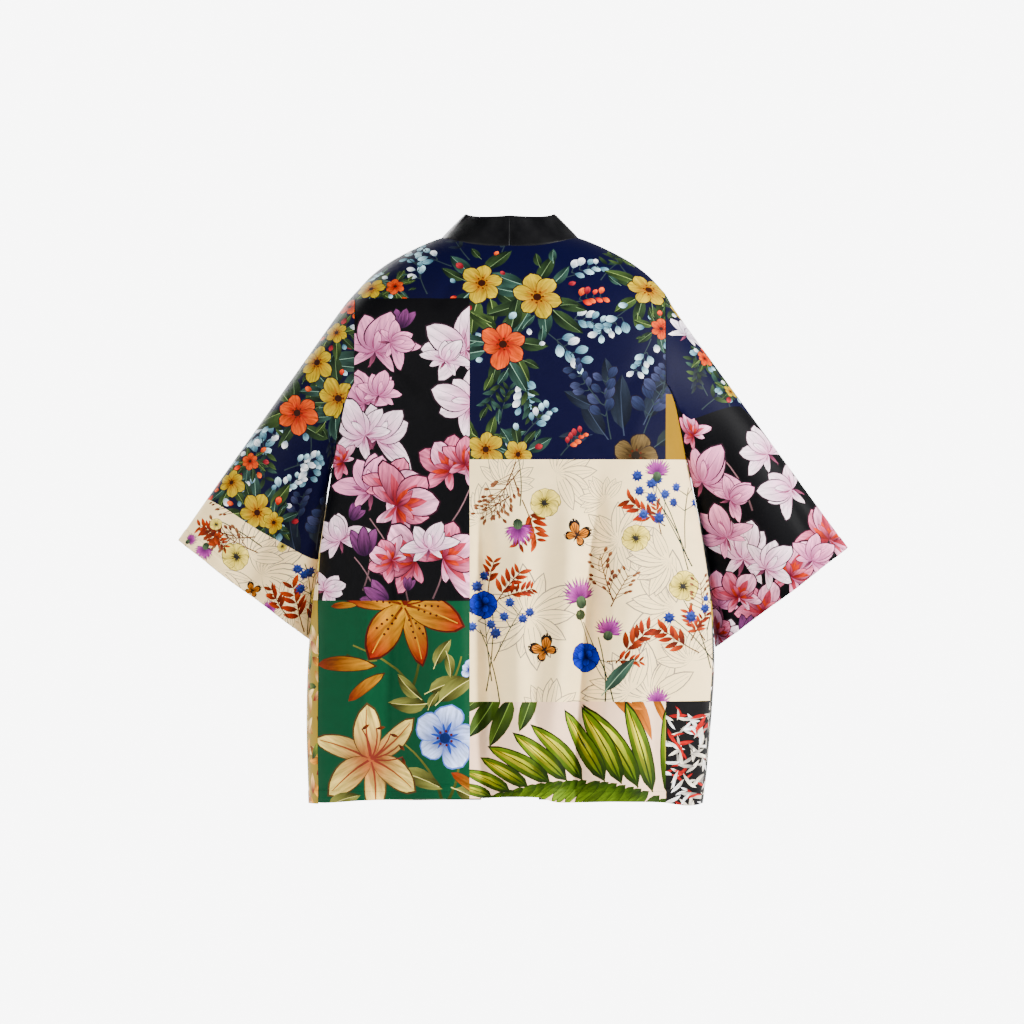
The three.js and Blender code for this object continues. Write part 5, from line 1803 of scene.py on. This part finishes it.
def back_outline():
    trim = SEAM_TRIM
    neck_x = np.linspace(-NECK_HALF_WIDTH, NECK_HALF_WIDTH, 46)
    neck = np.column_stack([neck_x, flat_from_height(neck_x, nape_z(neck_x)) - SHOULDER_TRIM])
    line_x = np.linspace(NECK_HALF_WIDTH, SHOULDER_X - trim, 30)[1:]
    top = flat_from_height(line_x, along(SHOULDER_LINE, "x", "z", line_x)) - SHOULDER_TRIM
    left_shoulder = np.column_stack([line_x, top])
    right_shoulder = np.column_stack([-line_x[::-1], top[::-1]])
    sides = {}
    for side in (1, -1):
        upper = np.linspace(top[-1], ROUNDING_Z, 22)[1:-1]
        upper_x = np.full(len(upper), SHOULDER_X - trim)
        lower = np.linspace(ROUNDING_Z, HEM_Z + 2, 110)
        edge = back_edge_x(np.full(len(lower), side), lower) - trim
        sides[side] = np.column_stack([side * np.concatenate([upper_x, edge]),
                                       np.concatenate([upper, lower])])
    hem_x = np.linspace(sides[1][-1, 0], sides[-1][-1, 0], 110)
    hem = np.column_stack([hem_x, along(BACK_HEM, "x", "z", hem_x)])
    left = sides[1][sides[1][:, 1] > hem[0, 1] + 2]
    right = sides[-1][sides[-1][:, 1] > hem[-1, 1] + 2][::-1]
    return np.vstack([neck, left_shoulder, left, hem, right, right_shoulder[:-1]])


def hem_rows(xs, hem):
    return np.vstack([np.column_stack([xs, hem + distance]) for distance in HEM_ROWS])


def make_back(material):
    pen = Print(lambda plane: np.column_stack([plane[:, 0], flat_from_height(plane[:, 0], plane[:, 1])]))
    print_back(pen)
    outline = back_outline()
    xs = np.linspace(-250, 250, 120)
    extra = hem_rows(xs, along(BACK_HEM, "x", "z", xs))
    zs = np.arange(-720, -180, 5.0)
    for side in (1, -1):
        edge = back_edge_x(np.full(len(zs), side), zs)
        for inset in SIDE_INSETS:
            extra = np.vstack([extra, np.column_stack([side * (edge - inset), zs])])
    flat, triangles, owners = cut_and_paint(outline, pen, extra)
    inks, strokes = corner_paint(flat, triangles, owners, pen)
    place = formed(lift_back_plain, back_relief, away_from_middle)
    hem = ((-250, HEM_Z), (250, HEM_Z))
    piece = cloth_mesh("back_panel", [(flat, triangles, inks, strokes, hem, place, away_from_middle)],
                       CLOTH)
    finish_piece(piece, "back", material)
    return piece


def make_front(side, material):
    lift = FrontLift(side)
    pen = Print(lambda plane: np.column_stack([side * plane[:, 0], plane[:, 1]]))
    (print_front_left if side > 0 else print_front_right)(pen)
    trim = SEAM_TRIM
    # The outline runs up the front edge, over the shoulder and down the armhole and side seam
    edge_z = np.linspace(HEM_Z, ROUNDING_Z, 100)
    front = np.column_stack([np.full(100, FRONT_EDGE_X + 0.1), edge_z])
    turns = np.linspace(0, QUARTER_TURN, 22)[1:]
    neck_x = FRONT_EDGE_X + (NECK_HALF_WIDTH - FRONT_EDGE_X) * (turns / QUARTER_TURN) ** 2
    neck_turned = flat_from_turn(turns, shoulder_rise(neck_x), front_depth(side, neck_x))
    front_s = [lift.arc_at(float(angle_at_x(side, x, ROUNDING_Z)), ROUNDING_Z) for x in neck_x]
    neck = np.column_stack([front_s, neck_turned - SHOULDER_TRIM])
    line_x = np.linspace(NECK_HALF_WIDTH, SHOULDER_X - trim, 26)[1:]
    line_turned = flat_from_turn(QUARTER_TURN, shoulder_rise(line_x), front_depth(side, line_x))
    line_s = [lift.arc_at(float(angle_at_x(side, x, ROUNDING_Z)), ROUNDING_Z) for x in line_x]
    line = np.column_stack([line_s, line_turned - SHOULDER_TRIM])
    arm_z = np.linspace(line[-1, 1], ROUNDING_Z, 22)[1:-1]
    arm = np.column_stack([np.full(len(arm_z), line_s[-1]), arm_z])
    low_z = np.linspace(ROUNDING_Z, HEM_Z + 2, 110)
    low_angle = np.where(low_z < UNDERARM_Z, -seam_angle(side, low_z), armhole_angle(low_z))
    low_s = [lift.arc_at(float(a), z) - trim for a, z in zip(low_angle, low_z)]
    low = np.column_stack([low_s, low_z])
    hem_s = np.linspace(low[-1, 0], FRONT_EDGE_X + 0.1, 60)
    hem = np.column_stack([hem_s, np.full(60, HEM_Z)])
    outline = np.vstack([front, neck, line, arm, low[:-1], hem[:-1]])
    xs = np.linspace(FRONT_EDGE_X + 3, low[-1, 0] - 3, 60)
    flat, triangles, owners = cut_and_paint(outline, pen, hem_rows(xs, np.full(60, float(HEM_Z))))
    inks, strokes = corner_paint(flat, triangles, owners, pen)
    place = formed(lift.plain, lift.relief, away_from_middle)
    hem = ((0, HEM_Z), (250, HEM_Z))
    name = "left" if side > 0 else "right"
    piece = cloth_mesh(f"front_panel_{name}",
                       [(flat, triangles, inks, strokes, hem, place, away_from_middle)], CLOTH)
    finish_piece(piece, f"front_{name}", material)
    return piece


def make_sleeve(side, material):
    halves = {half: SleeveLift(side, half) for half in (1, -1)}
    lift = halves[1]
    pen = Print(lambda plane: plane)
    (print_left_sleeve if side > 0 else print_right_sleeve)(pen)
    arcs = np.array(lift.arcs)

    def flat_at(row, arc):
        return lift.middles[row] + lift.ups[row] * arc

    rows = range(lift.ROWS)
    top = [flat_at(r, arcs[r][0]) for r in rows]
    cuff = [flat_at(lift.ROWS - 1, a) for a in arcs[-1]]
    low = [flat_at(r, arcs[r][-1]) for r in rows][::-1]
    armhole = [flat_at(0, a) for a in arcs[0]][::-1]
    outline = np.vstack([edge_points(top)[:-1], edge_points(cuff)[:-1], edge_points(low)[:-1],
                         edge_points(armhole)[:-1]])
    inner = []
    for share in CUFF_SHARES:
        middle, up = lift.frame_at(np.array([share]))
        reach = np.linspace(arcs[-1][-1] * 0.98, arcs[-1][0] * 0.98, 60)[:, None]
        inner.append(middle + up * reach)
    near_edges = []
    for r in range(2, lift.ROWS - 1, 2):
        for inset in SLEEVE_INSETS:
            near_edges.append(flat_at(r, arcs[r][0] - inset))
            near_edges.append(flat_at(r, arcs[r][-1] + inset))
    flat, triangles, owners = cut_and_paint(outline, pen, np.vstack(inner + [np.array(near_edges)]))
    inks, strokes = corner_paint(flat, triangles, owners, pen)
    parts = []
    for half in (1, -1):
        shape = halves[half]

        def outward(points, shape=shape):
            axis = np.column_stack([points[:, 0], np.interp(np.abs(points[:, 0]), [205, 450], [0, -34]),
                                    points[:, 2]])
            off = points - axis
            off[:, 0] = 0
            off[:, 2] = 0
            off[:, 1] = np.where(np.abs(off[:, 1]) < 1e-6, half, off[:, 1])
            return np.column_stack([off[:, 0], np.full(len(points), float(shape.half)), off[:, 2]])

        parts.append((flat, triangles, inks, strokes, (cuff[0], cuff[-1]),
                      formed(shape.plain, shape.relief, outward), outward))
    name = "left" if side > 0 else "right"
    piece = cloth_mesh(f"sleeve_tube_{name}", parts, CLOTH)
    finish_piece(piece, f"sleeve_{name}", material)
    return piece


BAND_STEPS = 12
RIPPLE = 0.5


def make_band(side, material):
    stations = []
    for k in range(31):
        x = side * NECK_HALF_WIDTH * k / 30
        flat = np.array([[x, float(flat_from_height(np.array([x]), nape_z(np.array([x])))[0])]])
        stations.append((lift_back_plain(flat)[0], k / 30))
    for k in range(1, 41):
        turn = QUARTER_TURN * (1 - k / 40)
        x = FRONT_EDGE_X + (NECK_HALF_WIDTH - FRONT_EDGE_X) * (turn / QUARTER_TURN) ** 2
        px, py = body_xy(side, -angle_at_x(side, x, ROUNDING_Z), ROUNDING_Z)
        rise = float(shoulder_rise(np.array([x]))[0])
        z = ROUNDING_Z + rise * math.sin(turn)
        way = 1 + (NECK_POINT_Z - z) / (NECK_POINT_Z - ROUNDING_Z)
        stations.append((np.array([float(px), float(py) * math.cos(turn), z]), way))
    for z in np.linspace(ROUNDING_Z, HEM_Z, 90)[1:]:
        px, py = body_xy(side, -angle_at_x(side, FRONT_EDGE_X, z), z)
        stations.append((np.array([float(px), float(py), z]), 2 + (ROUNDING_Z - z) / (ROUNDING_Z - HEM_Z)))
    seams = np.array([seam for seam, _ in stations])
    onward = np.gradient(seams, axis=0)
    onward[0] = (side, 0, 0)
    onward /= np.linalg.norm(onward, axis=1)[:, None]
    mid = []
    lengths = np.concatenate([[0], np.cumsum(np.linalg.norm(np.diff(seams, axis=0), axis=1))])
    for (seam, way), run in zip(stations, onward):
        if way < 1:
            inward = np.array([-seam[0] / NECK_HALF_WIDTH**2, -seam[1] / NECK_HALF_DEPTH**2, 0])
            inward /= np.linalg.norm(inward)
        else:
            ends = [body_xy(side, -angle_at_x(side, x, min(seam[2], ROUNDING_Z)), min(seam[2], ROUNDING_Z))
                    for x in (FRONT_EDGE_X, FRONT_EDGE_X - BAND_WIDTH)]
            chest = np.array([float(ends[1][0] - ends[0][0]), float(ends[1][1] - ends[0][1]), 0])
            chest /= np.linalg.norm(chest)
            t = float(smooth(way - 1))
            inward = np.array([-side, 0, 0]) * (1 - t) + chest * t
            inward /= np.linalg.norm(inward)
        lean = inward * float(along(BAND_LEAN, "way", "inward", way))
        lean[2] += float(along(BAND_LEAN, "way", "upward", way))
        lean -= run * lean.dot(run)
        lean /= np.linalg.norm(lean)
        reach = np.linspace(-BAND_OVERLAP, BAND_WIDTH, BAND_STEPS + 1)
        mid.append(seam + lean * reach[:, None])
    mid = np.array(mid)
    mid[0, :, 0] = side * 0.02
    down = np.gradient(mid, axis=0)
    across = np.gradient(mid, axis=1)
    normal = np.cross(across, down) * side
    normal /= np.linalg.norm(normal, axis=2)[:, :, None]
    rows, columns = mid.shape[:2]
    share = np.linspace(0, 1, columns)
    # The band is doubled: rounded at its folded edge, dimpled along its stitched seam
    half_wall = BAND_CLOTH / 2 * np.clip(1 - np.abs(2 * share - 1) ** 6, 0.25, 1) ** 0.5
    seam_dip = 0.5 * np.exp(-(((share * BAND_WIDTH - 2.2) / 1.1) ** 2))
    way_along = lengths[:, None]
    ripple = RIPPLE * np.sin(way_along / 23 + 2 * share) * np.sin(way_along / 61 + 1.3)
    ripple = ripple * smooth(lengths / 40)[:, None]
    centre_dip = 0.6 * np.exp(-((way_along / 1.2) ** 2))
    outer = mid + normal * (half_wall - seam_dip + ripple - centre_dip)[:, :, None]
    inner = mid - normal * (half_wall - seam_dip - ripple)[:, :, None]
    points = np.vstack([outer.reshape(-1, 3), inner.reshape(-1, 3)])
    count = rows * columns
    faces = []

    def quad(a, b, c, d):
        faces.append((a, b, c))
        faces.append((a, c, d))

    for j in range(rows - 1):
        for i in range(columns - 1):
            a, b = j * columns + i, j * columns + i + 1
            c, d = b + columns, a + columns
            quad(a, b, c, d)
            quad(count + a, count + d, count + c, count + b)
    for i in range(columns - 1):
        quad(i, count + i, count + i + 1, i + 1)
        foot = (rows - 1) * columns + i
        quad(foot, foot + 1, count + foot + 1, count + foot)
    for j in range(rows - 1):
        a, b = j * columns, (j + 1) * columns
        quad(a, b, count + b, count + a)
        a, b = a + columns - 1, b + columns - 1
        quad(a, count + a, count + b, b)
    faces = np.array(faces)
    corners = points[faces]
    volume = np.sum(corners[:, 0] * np.cross(corners[:, 1], corners[:, 2])) / 6
    if volume < 0:
        faces = faces[:, ::-1]
    grain = np.stack([np.tile(share * BAND_WIDTH, (rows, 1)), np.tile(lengths[:, None], (1, columns)),
                      np.zeros((rows, columns))], axis=2)
    grain = np.vstack([grain.reshape(-1, 3), grain.reshape(-1, 3)])[faces.reshape(-1)]
    inks = np.ones((faces.size, 4)) * 0.05
    name = "left" if side > 0 else "right"
    piece = build_mesh(f"neckband_strip_{name}", points, faces, inks, np.zeros((faces.size, 3)), grain,
                       None)
    finish_piece(piece, f"neckband_{name}", material)
    return piece


WALL_GLOW = 8.0
WALL_GLOW_RISE = 0.07
WALL_LIGHT = 0.3


def make_stage():
    bpy.ops.mesh.primitive_circle_add(vertices=96, radius=1.1, fill_type="NGON", location=(0, 0, -1.22))
    floor = bpy.context.object
    floor.name = "floor"
    material = bpy.data.materials.new("floor_paper")
    material.use_nodes = True
    surface = material.node_tree.nodes["Principled BSDF"]
    surface.inputs["Base Color"].default_value = (0.9, 0.9, 0.9, 1)
    surface.inputs["Roughness"].default_value = 0.9
    floor.data.materials.append(material)
    world = bpy.data.worlds.new("studio")
    bpy.context.scene.world = world
    world.use_nodes = True
    tree = world.node_tree
    background = tree.nodes["Background"]
    background.inputs["Color"].default_value = (1, 1, 1, 1)
    # A pale studio wall all round, brightest at the height of the eye
    where = add_node(tree, "ShaderNodeTexCoord")
    split = add_node(tree, "ShaderNodeSeparateXYZ")
    tree.links.new(where.outputs["Generated"], split.inputs[0])
    rise = add_node(tree, "ShaderNodeMath", operation="ABSOLUTE")
    tree.links.new(split.outputs["Z"], rise.inputs[0])
    glow = add_node(tree, "ShaderNodeMapRange", interpolation_type="SMOOTHSTEP")
    glow.inputs["From Min"].default_value = WALL_GLOW_RISE
    glow.inputs["From Max"].default_value = 2.2 * WALL_GLOW_RISE
    glow.inputs["To Min"].default_value = WALL_GLOW
    glow.inputs["To Max"].default_value = WALL_LIGHT
    tree.links.new(rise.outputs[0], glow.inputs["Value"])
    tree.links.new(glow.outputs[0], background.inputs["Strength"])


def area_light(name, place, aim, size, power):
    data = bpy.data.lights.new(name, "AREA")
    data.size = size
    data.energy = power
    light = bpy.data.objects.new(name, data)
    light.location = place
    light.rotation_euler = (Vector(aim) - Vector(place)).to_track_quat("-Z", "Y").to_euler()
    bpy.context.collection.objects.link(light)


CAMERA_DISTANCE = 10.0
SENSOR = 36.0


def make_camera():
    data = bpy.data.cameras.new("camera")
    data.sensor_width = SENSOR
    data.lens = SENSOR * CAMERA_DISTANCE / (PHOTO_SIZE * PIXEL * MM)
    data.clip_end = 100
    camera = bpy.data.objects.new("camera", data)
    centre_x = (MIDDLE_X - PHOTO_SIZE / 2) * PIXEL * MM
    centre_z = (MIDDLE_Y - PHOTO_SIZE / 2) * PIXEL * MM
    camera.location = (centre_x, CAMERA_DISTANCE, centre_z)
    camera.rotation_euler = (QUARTER_TURN, 0, math.pi)
    bpy.context.collection.objects.link(camera)
    bpy.context.scene.camera = camera


make_camera()
make_stage()
area_light("key", (-3.7, 1.5, 0.9), (0, 0, -0.35), 0.6, 500)
area_light("fill", (2.4, 3.2, 1.2), (0, 0, -0.35), 1.4, 125)
area_light("front", (1.8, -3.0, 1.4), (0, 0, -0.35), 1.6, 190)

cloth = printed_cloth()
satin = band_satin()
make_back(cloth)
for hand in (1, -1):
    make_front(hand, cloth)
    make_sleeve(hand, cloth)
    make_band(hand, satin)

bpy.context.view_layer.update()
